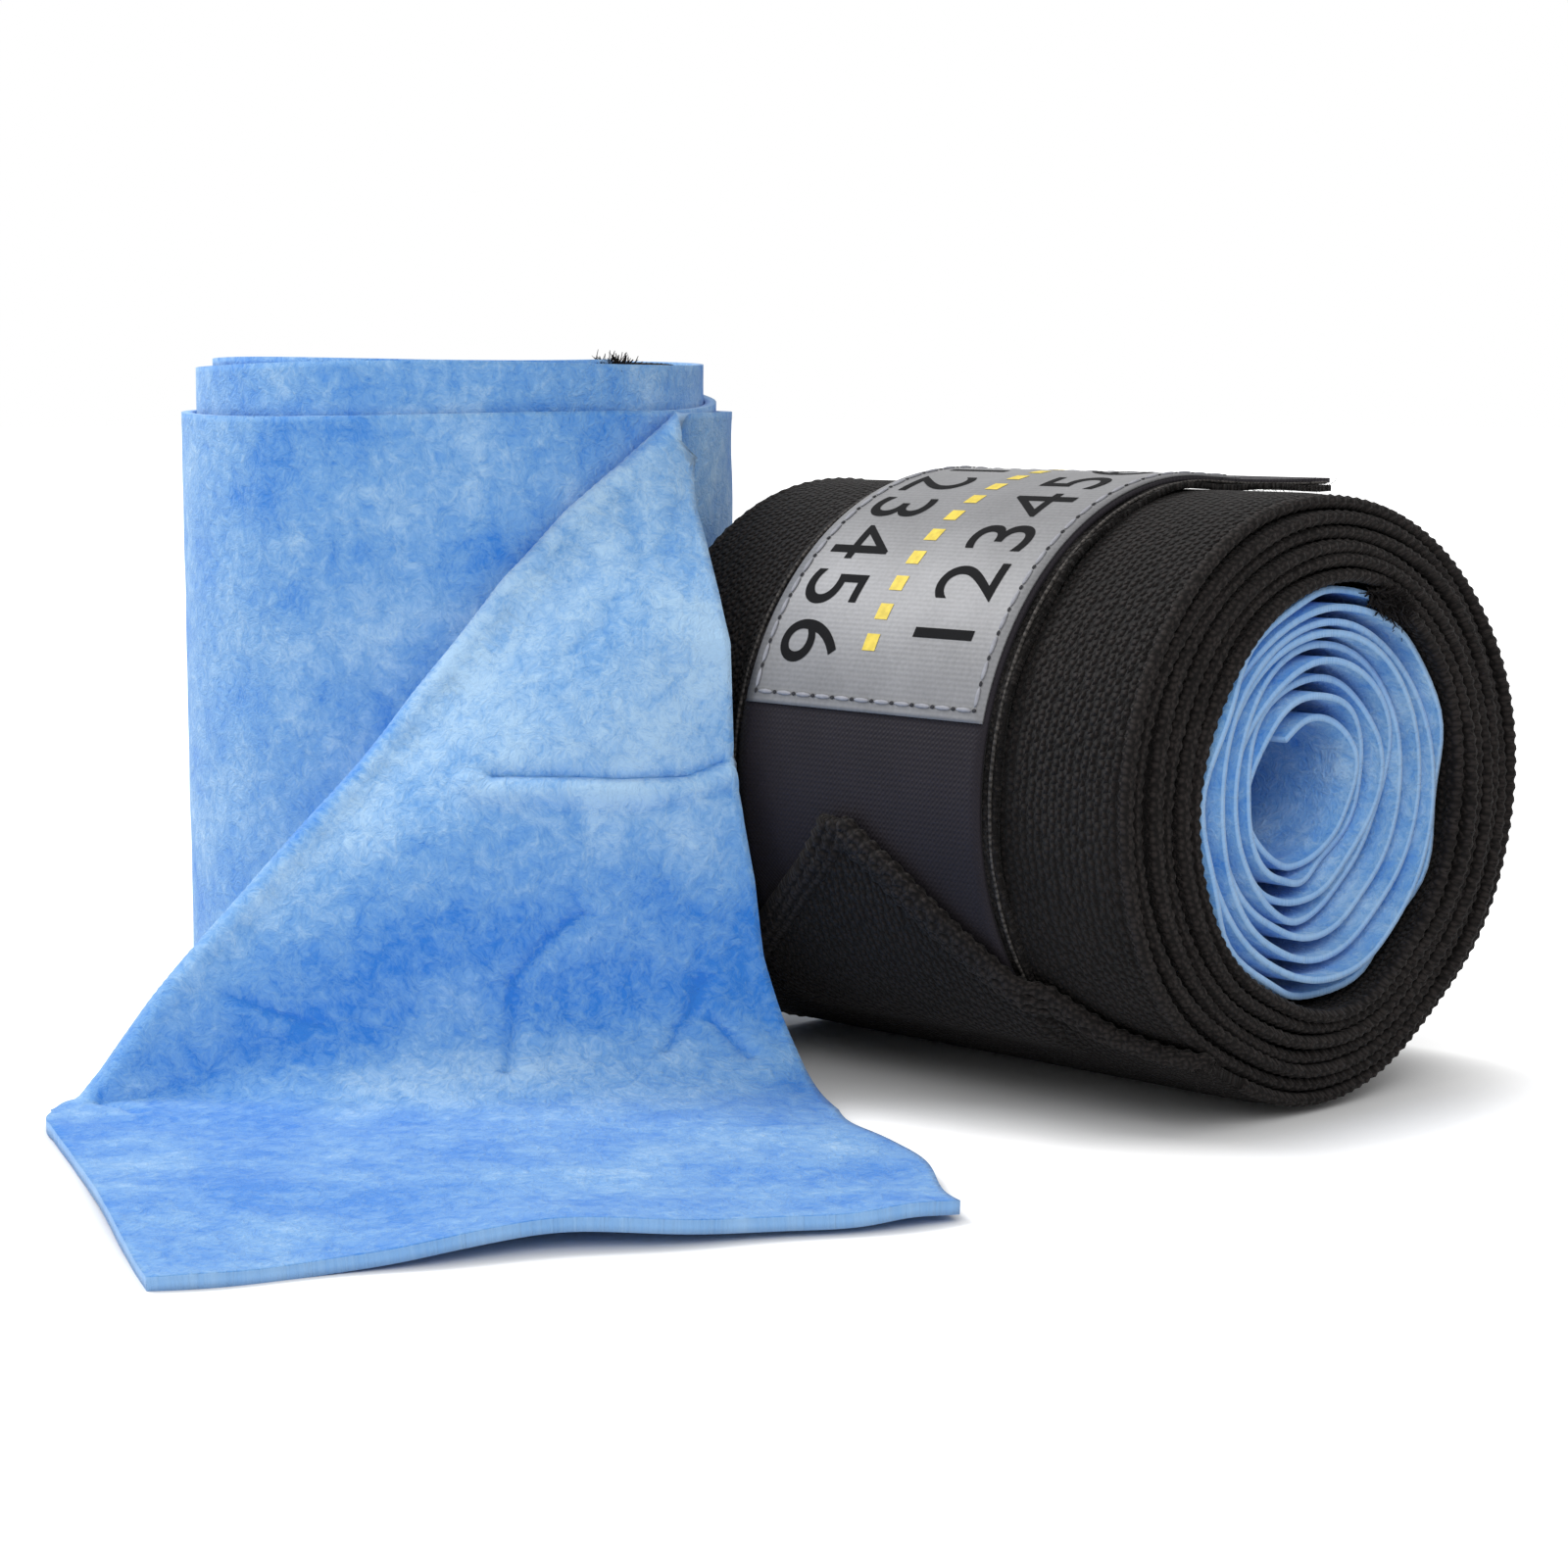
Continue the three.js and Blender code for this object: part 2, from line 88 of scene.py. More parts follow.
# the flap's right edge: height, then place across and back
edge_heights = [0.0009, 0.0055, 0.0147, 0.0242, 0.0315, 0.0406, 0.0492, 0.0657, 0.0713,
                0.0796, 0.0853, 0.0911, 0.0954]
edge_across = [0.0321, 0.0293, 0.0281, 0.0269, 0.0261, 0.0243, 0.0214, 0.0175, 0.0138,
               0.0053, -0.0007, -0.0052, -0.0080]
edge_back = [0.0188, 0.0166, 0.0163, 0.0158, 0.0155, 0.0149, 0.0157, 0.0189, 0.0205,
             0.0255, 0.0288, 0.0325, 0.0367]


def soft(value, low, high):
    share = min(max((value - low) / (high - low), 0.0), 1.0)
    return share * share * (3 - 2 * share)


def spread(value, points):
    return float(np.interp(value, points[0], points[1]))


def spiral(start, end, count, radius_at):
    """How far along a spiral each of its angles is, with those angles, and its whole length."""
    angles = np.linspace(start, end, count)
    lengths = np.concatenate([[0], np.cumsum(np.radians(np.diff(angles)) * radius_at(angles)[1:])])
    return (lengths, angles), float(lengths[-1])


def away_from_axis(angle):
    """The open roll's outward direction, seen from above."""
    return Vector((cos(radians(angle)), sin(radians(angle)), 0))


# distance along the wound sheet, counted back from the fold's apex
wound_spiral, wound_length = spiral(apex_angle, seam_angle, 1200, lambda angles: (
    sheet_radius - sheet_pitch * (angles - apex_angle) / 360))


def open_wall(along, height):
    """A point on the standing sheet and its outward normal; along is 0 at the fold's apex."""
    if along <= 0:
        angle = spread(-along, wound_spiral)
        turns = (angle - apex_angle) / 360
        radius = sheet_radius - sheet_pitch * turns
        radius += 0.00022 * sin(3 * radians(angle) + 2 * turns) * soft(turns, 0.1, 0.5)
        lift = 0.0075 * soft(turns, 0.96, 1.36) + 0.0008 * max(turns - 1.5, 0)
        lift += 0.0004 * sin(2.3 * radians(angle)) * soft(turns, 0.2, 0.6)
    else:
        angle = max(apex_angle - degrees(along / sheet_radius), leave_angle)
        radius, lift = sheet_radius, 0.0
    outward = away_from_axis(angle)
    point = roll_middle + outward * radius
    point += Vector((outward.y, -outward.x, 0)) * max(along - arc_run, 0)
    point.z = height + lift * min(1, 0.25 + height / wrap_width) if along > 0 else height + lift
    return point, outward


def fold_foot(share):
    """The flap's side of the soft fold: share runs from 0 at the apex to 1 on the ground."""
    share = share + fold_over * across_fold.y / wrap_width
    bow = spread(share, fold_bow)
    along = fold_run * share + across_fold.x * bow
    point, outward = open_wall(max(along, 0.0001), wrap_width * (1 - share) + across_fold.y * bow)
    return point + outward * 2 * fold_radius


def flap_edge(share):
    height = edge_heights[-1] * (1 - share) + edge_heights[0] * share
    return Vector((np.interp(height, edge_heights, edge_across),
                   np.interp(height, edge_heights, edge_back), height))


corner_left, corner_right = fold_foot(1.0) + Vector((-0.0015, -0.0015, 0)), flap_edge(1.0)
end_left = Vector((free_high.x - 0.0475, free_low.y + 0.0006, sheet_thick / 2))
end_right = Vector((free_high.x - 0.0004, free_high.y - 0.0361, sheet_thick / 2))


def flap_point(share, across):
    left, right = fold_foot(share), flap_edge(share)
    point = left.lerp(right, across)
    belly = sin(pi * across) * sin(pi * min(share, 1)) ** 1.3
    point += Vector((0.62, -0.62, 0.3)) * 0.0045 * belly
    return point


def ground_point(share, across):
    left = corner_left.lerp(end_left, share)
    right = corner_right.lerp(end_right, share)
    left.x += 0.0012 * sin(5 * share)
    edge_wave = 0.0017 * sin(11 * share + 0.4) - 0.001 * share
    right += Vector((0.55, 0.8, 0)) * edge_wave * soft(share, 0, 0.2)
    point = left.lerp(right, across)
    cut_wave = 0.0011 * sin(9 * across + 0.6) + 0.0005 * sin(23 * across)
    point += Vector((0.88, -0.47, 0)) * cut_wave * share ** 3
    lift = 0.0019 * exp(-((across - 0.47) / 0.2) ** 2) + 0.0009 * exp(-((across - 0.93) / 0.07) ** 2)
    point.z = (sheet_thick / 2 + lift * soft(share, 0.72, 1.0)
               + 0.0004 * soft(across, 0.1, 0.5) * soft(share, 0, 0.4))
    return point


def flap_shares(along, height):
    """How far over the fold a flat place is, how far down the flap, and how far across it."""
    up = 1 - height / wrap_width
    over = (along - turned_at - fold_run * up) / (bend_right - turned_at)
    share = up + over
    across = over / share if share > 1e-6 else 0.0
    return over, share, min(max(across, 0.0), 1.0)


def past_fold(along, height):
    """A point on the turned-over part of the sheet, bent softly where it meets the ground."""
    _, share, across = flap_shares(along, height)
    slack = 0.009 + 0.014 * soft(across, 0.0, 0.35)
    slant = left_slant * (1 - across) + right_slant * across
    on_ground = height / wrap_width
    reach = free_left * (1 - on_ground) + free_right * on_ground
    bend_here = bend_left * (1 - on_ground) + bend_right * on_ground
    past = (along - bend_here) / reach
    to_bend = (share - 1) * slant if share < 1 else past * reach
    if abs(to_bend) >= slack:
        return flap_point(share, across) if share < 1 else ground_point(past, on_ground)
    across = across if share < 1 else on_ground
    before = flap_point(1 - slack / slant, across)
    corner = corner_left.lerp(corner_right, across)
    after = ground_point(slack / reach, across)
    step = (to_bend + slack) / (2 * slack)
    return before * (1 - step) ** 2 + corner * 2 * step * (1 - step) + after * step ** 2


def open_sheet_point(along, height):
    if along <= 0:
        return open_wall(along, height)[0]
    beyond = along * across_fold.x + (height - wrap_width) * across_fold.y
    foot_along = along - beyond * across_fold.x
    foot_share = foot_along / fold_run
    bow = spread(foot_share, fold_bow)
    beyond -= bow
    if beyond <= 0:
        return open_wall(along, height)[0]
    if beyond < fold_over:
        turn = beyond / fold_radius
        foot_height = wrap_width * (1 - foot_share) + bow * across_fold.y
        point, outward = open_wall(max(foot_along + bow * across_fold.x, 0.0001), foot_height)
        onward = Vector((outward.y, -outward.x, 0))
        narrowed = 1 - 0.75 * soft(foot_share, 0.85, 1)
        above = (onward * across_fold.x + Vector((0, 0, across_fold.y))) * narrowed
        point = point + outward * fold_radius * (1 - cos(turn)) + above * fold_radius * sin(turn)
    else:
        point = past_fold(along, height)
    if point.z < 0.0022:
        point.z = sheet_thick / 2 + 0.0013 * exp((point.z - 0.0022) / 0.0013)
    return point


def keep_flat(mesh, flat):
    """Smooths the faces, and stores where each point lies on the flat cloth."""
    layer = mesh.loops.layers.uv.new("flat")
    for face in mesh.faces:
        face.smooth = True
        for corner in face.loops:
            corner[layer].uv = flat[corner.vert]


def grid_strip(columns, rows, place):
    """A strip of cloth: place turns each share along and across into a point and its flat place."""
    mesh = bmesh.new()
    bmesh.ops.create_grid(mesh, x_segments=columns, y_segments=rows, size=1)
    mesh.verts.layers.float.new("tone")
    flat = {}
    for vert in mesh.verts:
        vert.co, flat[vert] = place(vert.co.x / 2 + 0.5, vert.co.y / 2 + 0.5)
    keep_flat(mesh, flat)
    mesh.normal_update()
    return mesh, flat


def new_object(name, data):
    made = bpy.data.objects.new(name, data)
    bpy.context.scene.collection.objects.link(made)
    return made


def finish_piece(name, mesh, material, thick=None, rim=None):
    """Makes the object, and keeps each point's place at rest for its material to use."""
    data = bpy.data.meshes.new(name)
    mesh.to_mesh(data)
    mesh.free()
    data.materials.append(material)
    places = np.empty(len(data.vertices) * 3, np.float32)
    data.vertices.foreach_get("co", places)
    data.attributes.new("rest", "FLOAT_VECTOR", "POINT").data.foreach_set("vector", places)
    piece = new_object(name, data)
    if thick:
        wall = piece.modifiers.new("thickness", "SOLIDIFY")
        wall.thickness, wall.offset = thick, 0.0
        if rim:
            data.materials.append(rim)
            wall.material_offset_rim = 1
    return piece


def put(tree, node, **values):
    """Fills a shader node's inputs with numbers, colours or other nodes' outputs."""
    for key, value in values.items():
        if key.startswith("set_"):
            setattr(node, key[4:], value)
            continue
        numbered = key.startswith("in") and key[2:].isdigit()
        socket = node.inputs[int(key[2:]) if numbered else key.replace("_", " ")]
        if isinstance(value, bpy.types.NodeSocket):
            tree.links.new(value, socket)
        else:
            socket.default_value = value
    return node


def wire(tree, kind, **values):
    return put(tree, tree.nodes.new("ShaderNode" + kind), **values)


def maths(tree, operation, first, *others):
    """Joins its values by one operation, from left to right."""
    for other in others:
        first = wire(tree, "Math", set_operation=operation, in0=first, in1=other).outputs[0]
    return first


def add(tree, *values):
    return maths(tree, "ADD", *values)


def times(tree, *values):
    return maths(tree, "MULTIPLY", *values)


def cloudy(tree, place, scale, detail):
    return wire(tree, "TexNoise", Vector=place, Scale=scale, Detail=detail).outputs["Fac"]


def new_material(name, **settings):
    made = bpy.data.materials.new(name)
    made.use_nodes = True
    tree = made.node_tree
    return made, tree, put(tree, tree.nodes["Principled BSDF"], **settings)


def shader_group(name, *amounts):
    """A pattern for several materials: from a place and amounts it gives a shade and a height."""
    made = bpy.data.node_groups.new(name, "ShaderNodeTree")
    made.interface.new_socket("Place", in_out="INPUT", socket_type="NodeSocketVector")
    for amount in amounts:
        made.interface.new_socket(amount, in_out="INPUT", socket_type="NodeSocketFloat")
    for given in ("Shade", "Height"):
        made.interface.new_socket(given, in_out="OUTPUT", socket_type="NodeSocketFloat")
    return made, made.nodes.new("NodeGroupInput").outputs


def coloured(tree, shader, shade, stops):
    """Colours a surface by a shade; stops are places on the shade's range, with their colours."""
    ramp = wire(tree, "ValToRGB", Fac=shade)
    steps = ramp.color_ramp.elements
    steps[0].position, steps[-1].position = stops[0][0], stops[-1][0]
    for position, _ in stops[1:-1]:
        steps.new(position)
    for step, (_, colour) in zip(steps, stops):
        step.color = (*[min(part, 1) for part in colour], 1)
    put(tree, shader, Base_Color=ramp.outputs["Color"])


def patterned(tree, shader, pattern, stops, depth, strength):
    """Colours a surface by a pattern's shade, and raises it by the pattern's height."""
    coloured(tree, shader, pattern.outputs["Shade"], stops)
    bump = wire(tree, "Bump", Height=pattern.outputs["Height"], Strength=strength, Distance=depth)
    put(tree, shader, Normal=bump.outputs["Normal"])


# felt: clouds of colour, finer flecks and a raised nap
felt, given = shader_group("felt", "Tone", "Contrast")
bent = wire(felt, "TexNoise", Vector=given["Place"], Scale=260.0, Detail=2.0).outputs["Color"]
bent = wire(felt, "VectorMath", set_operation="SCALE", in0=bent, Scale=0.004).outputs[0]
felted = wire(felt, "VectorMath", set_operation="ADD", in0=given["Place"], in1=bent).outputs[0]
# Tone adds painted light and shade, set on the open sheet's points
shade, nap = add(felt, times(felt, given["Tone"], 0.19), 0.5), 0.0
for place, scale, detail, rough, weight, raised in (
        (given["Place"], 24.0, 3.0, 0.55, 0.46, 0.0), (felted, 95.0, 4.0, 0.6, 0.5, 0.2),
        (felted, 430.0, 4.0, 0.75, 0.54, 0.7), (felted, 1700.0, 2.0, 0.7, 0.25, 0.4)):
    grain = wire(felt, "TexNoise", Vector=place, Scale=scale, Detail=detail, Roughness=rough)
    grain = maths(felt, "SUBTRACT", grain.outputs["Fac"], 0.5)
    shade = add(felt, shade, times(felt, grain, weight, given["Contrast"]))
    nap = add(felt, times(felt, grain, raised), nap)
put(felt, felt.nodes.new("NodeGroupOutput"), Shade=shade, Height=nap)


def chamois(name, light, middle, dark, contrast=1.0):
    """Blue chamois: blotched where it holds more water, with a short felted nap."""
    made, tree, shader = new_material(name, Roughness=0.85, Sheen_Weight=0.2, Specular_IOR_Level=0.2,
                                      Sheen_Roughness=0.6)
    rest = wire(tree, "Attribute", set_attribute_name="rest").outputs["Vector"]
    # the tone attribute holds painted light and shade
    tone = wire(tree, "Attribute", set_attribute_name="tone").outputs["Fac"]
    pattern = wire(tree, "Group", set_node_tree=felt, Place=rest, Tone=tone, Contrast=contrast)
    patterned(tree, shader, pattern, [(0.28, dark), (0.5, middle), (0.72, light)], 0.0010, 0.62)
    return made


sheet_blue = chamois("cooling_sheet_blue", (0.43, 0.66, 0.92), (0.19, 0.425, 0.80), (0.036, 0.24, 0.74))
# a lighter copy of the chamois for the cut edges: painted highlight where the edges catch the light
edge_highlight_blue = chamois("cut_edge_blue", (0.42, 0.64, 0.91), (0.30, 0.53, 0.87), (0.18, 0.41, 0.81), 0.6)

sheet_from, sheet_to = -wound_length, bend_left + free_left


def lay_open_sheet(along_share, across_share):
    # columns are close together at the fold and wider apart round the roll
    wound_share, before_fold = 0.42, 0.006
    if along_share < wound_share:
        along = sheet_from + (along_share / wound_share) * (-sheet_from - before_fold)
    else:
        along = -before_fold + (along_share - wound_share) / (1 - wound_share) * (sheet_to + before_fold)
    height = across_share * wrap_width
    if along > bend_left:
        last = bend_left + free_left + (bend_right + free_right - bend_left - free_left) * across_share
        along = bend_left + (along - bend_left) * (last - bend_left) / free_left
    return open_sheet_point(along, height), (along, height)


# creases pressed into the flap: how deep, how proud beside it, then flat places from end to end
creases = [
    (1.0, 1.0, [(0.0649, 0.0662), (0.0657, 0.0757), (0.0665, 0.0838), (0.0665, 0.0932), (0.0641, 0.0986)]),
    (0.8, 0.35, [(0.1155, 0.0595), (0.1049, 0.0635), (0.0976, 0.0649), (0.0919, 0.0703), (0.0878, 0.0757)]),
    (0.8, 0.4, [(0.1147, 0.0824), (0.1098, 0.0851), (0.1066, 0.0878), (0.1009, 0.0905)]),
    (0.8, -0.4, [(0.109, 0.0905), (0.1131, 0.0919), (0.119, 0.0932)]),
    (0.45, 0.2, [(0.038, 0.0865), (0.042, 0.0838), (0.0461, 0.0797)]),
    (0.4, 0.2, [(0.0175, 0.0932), (0.0134, 0.0959), (0.0118, 0.0986)]),
    (0.4, 0.2, [(0.0232, 0.0919), (0.0331, 0.0905)]),
    (0.3, 0.3, [(0.0723, 0.0851), (0.0706, 0.0919), (0.069, 0.0986)]),
    (0.4, 0.3, [(0.0943, 0.0257), (0.0984, 0.0324), (0.1009, 0.0378)]),
    (0.5, 0.3, [(0.1066, 0.0068), (0.1131, 0.0081), (0.1196, 0.0108)]),
    (0.3, 0.2, [(0.0134, 0.1), (0.0232, 0.0973), (0.0314, 0.0932)]),
]


def creased(along, height):
    """How deep and how proud the creases leave this place."""
    deep = proud = 0.0
    for depth, beside, line in creases:
        nearest, side = 1.0, 0.0
        for (a, b), (c, d) in zip(line, line[1:]):
            run, rise = c - a, d - b
            step = min(max(((along - a) * run + (height - b) * rise) / (run * run + rise * rise), 0), 1)
            x, y = along - a - step * run, height - b - step * rise
            far = hypot(x, y)
            if far < nearest:
                nearest, side = far, copysign(far, x * rise - y * run)
        if nearest < 0.009:
            deep += depth * exp(-(nearest / 0.0009) ** 2)
            proud += depth * abs(beside) * exp(-((copysign(1, beside) * side - 0.0028) / 0.0019) ** 2)
    return deep, proud


def painted_flap_light(along, height):
    """Painted light and shade down the flap: lighter high up and towards its fold side, darker low down and on
    the ground.
    """
    over, share, across = flap_shares(along, height)
    if along <= 0 or over < 0:
        return -0.12
    # painted light and shade, by how far down the flap a place lies
    zones = ([0, 0.35, 0.5, 0.6, 0.75, 0.88, 0.97, 1.1, 2],
             [0.5, 0.9, 0.75, 0.2, -0.5, -0.4, 0.1, -0.45, -0.5])
    wander = 0.06 * noise.noise(Vector((along * 30, height * 30, 9.0)))
    pale = 0.5 * (1 - across) ** 3 * soft(share, 0.4, 0.55) * (1 - soft(share, 0.75, 0.9))
    return spread(share + wander, zones) + pale


mesh, flat = grid_strip(460, 100, lay_open_sheet)
tones = mesh.verts.layers.float["tone"]
for vert in mesh.verts:
    along, height = flat[vert]
    waves = noise.noise(Vector((along * 26, height * 26, 4.0))) * 0.0009 * soft(along, -0.02, 0.05)
    waves += noise.noise(Vector((along * 90, height * 90, 1.0))) * 0.00022
    deep, proud = creased(along, height) if along > 0 else (0, 0)
    vert.co += vert.normal * (waves - 0.0011 * deep + 0.0009 * proud)
    # painted shade in the creases and painted highlight on the ridges beside them, added to the flap's painted
    # light and shade
    vert[tones] = painted_flap_light(along, height) - 1.1 * deep + 0.45 * proud
piece = finish_piece("open_cooling_sheet", mesh, sheet_blue, sheet_thick, rim=edge_highlight_blue)
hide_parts("open_sheet_outer_turn", "open_sheet_inner_turns", "open_sheet_folded_run",
            "open_sheet_flap", "open_sheet_free_end")
bend_middle = corner_left.lerp(corner_right, 0.5)
down_sheet = Vector((0.79, -0.61, 0))
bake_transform(piece, "open_wrap", "free_end", start=bend_middle - down_sheet * 0.004,
         end=bend_middle + down_sheet * 0.02)


# ---------- closed roll's cooling sheet
# The other wrap's chamois, rolled up tight as the core of the closed roll. It is pressed
# thinner there, and its turns lie unevenly, with gaps where they slipped.

core_low, core_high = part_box("closed_cooling_sheet")
band_low, band_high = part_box("closed_elastic_band")
roll_far, roll_near = band_low.x, band_high.x
roll_back = (core_low.y + core_high.y) / 2 + 0.00063
roll_height = 0.0457
eye_radius, core_from, core_seam = 0.0105, 60.0, 3000.0
core_thick, core_proud = 0.0010, 0.0006
elastic_pitch = 0.00215
seam_radius = eye_radius + sheet_pitch * (core_seam - core_from) / 360


def closed_at(radius, angle, across):
    """A point of the closed roll: the angle turns from the front, up over the top."""
    turn = radians(angle)
    wrapped = (angle + 180) % 360 - 180
    share = min(radius / 0.045, 1.1)
    slump = 0.0014 * exp(-((wrapped + 128) / 17) ** 2) + 0.0007 * exp(-((wrapped + 62) / 14) ** 2)
    radius = radius + share * (0.0005 * cos(2 * turn) - slump)
    rise = sin(turn)
    flatten = 1 - 0.012 * (1 + rise) / 2
    return Vector((across, roll_back - radius * cos(turn), roll_height + radius * rise * flatten))


def closed_outward(angle):
    return Vector((0, -cos(radians(angle)), sin(radians(angle))))


def closed_onward(angle):
    return Vector((0, sin(radians(angle)), cos(radians(angle))))


core_spiral, core_length = spiral(core_from, core_seam, 2000, lambda angles: (
    eye_radius + core_proud + sheet_pitch * (angles - core_from) / 360))


def lay_core(along_share, across_share):
    along = along_share ** 1.5 * core_length
    angle = spread(along, core_spiral)
    turns, turn = (angle - core_from) / 360, radians(angle)
    radius = eye_radius + core_proud + sheet_pitch * turns
    inside = soft(turns, 0.1, 1) * (1 - soft(turns, 7.0, 8.0))
    radius += 0.00036 * sin(2 * turn + 1.2 * turns) * inside
    radius += 0.00024 * sin(3 * turn + 2.0 * turns) * inside
    # the inner turns slipped upwards, which opens a gap under them
    gap = 1 - soft(turns, 5.15, 5.75)
    slipped = 1 - soft(turns, 2.5, 8)
    low = max(0.0, -sin(turn + 0.5)) ** 1.5
    radius += 0.0017 * (sin(turn + 0.5) * slipped * (1 - low) - low * gap)
    radius -= 0.0030 * exp(-((angle - core_from) / 42) ** 2)
    recess = 0.0012 + 0.00055 * (8 - turns) + 0.0009 * sin(1.3 * turn + turns)
    recess += 0.0002 * sin(4.1 * turn + 2 * turns) + 0.0008 * (1 - cos(turn)) * soft(turns, 6.5, 7.5)
    recess += 0.0026 * low * (1 - soft(turns, 4.3, 5.2))
    recess += 0.0007 * sin(8 * turn + 1) * soft(turns, 6.9, 7.5)
    near = roll_near - recess
    far = roll_far + 0.0012 + 0.0004 * (8 - turns) + 0.0006 * sin(1.7 * turn)
    across = far + (near - far) * across_share
    radius += 0.00022 * sin(5 * turn + 2 * turns) * across_share ** 4 * inside
    return closed_at(radius, angle, across), (along, across_share * wrap_width)


mesh = grid_strip(640, 22, lay_core)[0]
piece = finish_piece("closed_core_sheet", mesh, sheet_blue, core_thick, rim=edge_highlight_blue)
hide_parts("closed_cooling_sheet")
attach(piece, "closed_wrap")


# ---------- closed roll's elastic band
# Black knitted elastic, rolled over the chamois. Its last stretch has both corners folded
# under to a point, which lies over the strap that it holds.

elastic_thick, band_proud = 0.0015, 0.0009
foot_angle, tip_angle = -52.5, -4.5
# added to an angle round the roll, these reach the elastic's last turn and the one under it
last_turn, strap_turn = 7 * 360, 6 * 360
elastic_start, elastic_from = 120, 121.0
elastic_end, point_end = foot_angle + last_turn, tip_angle + last_turn
# the point's two slanting edges: angle, then distance from the roll's near end
edge_angles = [-58, -52, -45, -35, -26, -13, -8, -4.5]
near_slant = [0.0, 0.001, 0.014, 0.0225, 0.0305, 0.0425, 0.0485, 0.0525]
far_slant = [0.1, 0.099, 0.092, 0.0825, 0.0735, 0.0615, 0.0580, 0.0560]
strap_low, strap_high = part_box("closed_strap_root")
hook_low, hook_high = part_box("closed_hook_tape_root")


def closed_band_radius(angle):
    return seam_radius + elastic_pitch * (angle - elastic_start) / 360


def over_strap(across, angle):
    """How far the strap under it lifts the pointed end."""
    reach = soft(across, hook_low.x - 0.003, hook_low.x + 0.001)
    reach *= 1 - soft(across, hook_high.x - 0.001, hook_high.x + 0.003)
    return 0.0021 * reach * soft(angle, foot_angle - 5, foot_angle + 9)


def band_edges(angle):
    turns, turn = (angle - elastic_start) / 360, radians(angle)
    recess = 0.0008 * turns * (0.5 + 0.5 * cos(turn - 0.3)) + 0.0005 * sin(2.3 * turn + turns)
    recess += 0.0006 * soft(-turns, -0.6, 0)
    near, far = roll_near - recess, roll_far - 0.15 * recess
    if angle > elastic_end - 6:
        local = angle - last_turn
        near = min(near, roll_near - spread(local, (edge_angles, near_slant)))
        far = max(far, roll_near - spread(local, (edge_angles, far_slant)))
    return near, far


def band_place(angle, across):
    turns, turn = (angle - elastic_start) / 360, radians(angle)
    radius = closed_band_radius(angle) + band_proud
    radius += 0.00014 * sin(3 * turn + 1.7 * turns) + 0.0001 * sin(7 * turn + turns)
    radius -= 0.0008 * soft(across, roll_near - 0.012, roll_near) ** 2 * (0.3 + 0.12 * turns)
    if angle > elastic_end - 12:
        radius += over_strap(across, angle - last_turn)
    return closed_at(radius, angle, across)


# knit: rows of small loops, set half a loop over from row to row
knitted, given = shader_group("knit", "Loop length", "Loop height", "Uneven")
parts = wire(knitted, "SeparateXYZ", Vector=given["Place"])
down = maths(knitted, "DIVIDE", parts.outputs["Y"], given["Loop height"])
odd_row = maths(knitted, "MODULO", maths(knitted, "FLOOR", down, 0.0), 2.0)
run = maths(knitted, "DIVIDE", parts.outputs["X"], given["Loop length"])
run = add(knitted, run, times(knitted, odd_row, 0.5))
cells = wire(knitted, "CombineXYZ", X=run, Y=down).outputs[0]
loops = wire(knitted, "TexVoronoi", set_voronoi_dimensions="2D", Vector=cells, Scale=1.0,
             Randomness=given["Uneven"])
loop = wire(knitted, "MapRange", set_interpolation_type="SMOOTHSTEP", Value=loops.outputs["Distance"],
            From_Min=0.62, From_Max=0.05, To_Min=0.0, To_Max=1.0).outputs[0]
each = wire(knitted, "SeparateXYZ", Vector=loops.outputs["Color"]).outputs["X"]
fuzz = cloudy(knitted, given["Place"], 2600.0, 3.0)
cloud = cloudy(knitted, given["Place"], 60.0, 3.0)
shade = add(knitted, times(knitted, each, 0.6), 0.45)
shade = times(knitted, loop, shade)
shade = add(knitted, shade, times(knitted, fuzz, 0.4))
shade = times(knitted, shade, add(knitted, cloud, 0.45))
height = add(knitted, loop, times(knitted, fuzz, 0.3))
put(knitted, knitted.nodes.new("NodeGroupOutput"), Shade=shade, Height=height)


def knit(name, colour, length, height, depth, uneven=0.45):
    made, tree, shader = new_material(name, Roughness=0.75, Sheen_Weight=0.03, Specular_IOR_Level=0.12)
    flat = wire(tree, "UVMap", set_uv_map="flat").outputs["UV"]
    pattern = wire(tree, "Group", set_node_tree=knitted, Place=flat, Loop_length=length,
                   Loop_height=height, Uneven=uneven)
    stops = [(0.1, [part * 0.25 for part in colour]), (0.85, [part * 3.0 for part in colour])]
    patterned(tree, shader, pattern, stops, depth, 0.9)
    return made


elastic_black = knit("knitted_elastic", (0.0074, 0.0059, 0.0056), 0.00118, 0.0013, 0.0013, uneven=0.5)
loop_black = knit("knit_loops", (0.0094, 0.0078, 0.0074), 0.0010, 0.0006, 0.0002)

band_spiral, band_length = spiral(elastic_from, point_end, 2600, lambda angles: (
    seam_radius + band_proud + elastic_pitch * (angles - elastic_start) / 360))


def lay_band(along_share, across_share):
    # the columns are closer on the last turn, which is the one that shows
    along = (along_share + 0.12 * sin(pi * along_share)) * band_length
    angle = spread(along, band_spiral)
    near, far = band_edges(angle)
    across = far + (near - far) * across_share
    return band_place(angle, across), (along, across - roll_far)


mesh = grid_strip(860, 34, lay_band)[0]
piece = finish_piece("closed_knit_band", mesh, elastic_black, elastic_thick)
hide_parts("closed_elastic_band", "closed_pointed_end")
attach(piece, "closed_wrap")


# ---------- selvedges and overlocked edges
# Ribbed cords of loops: the two selvedges of the elastic, and the bulky overlocked rows
# along the slanting edges of its point.

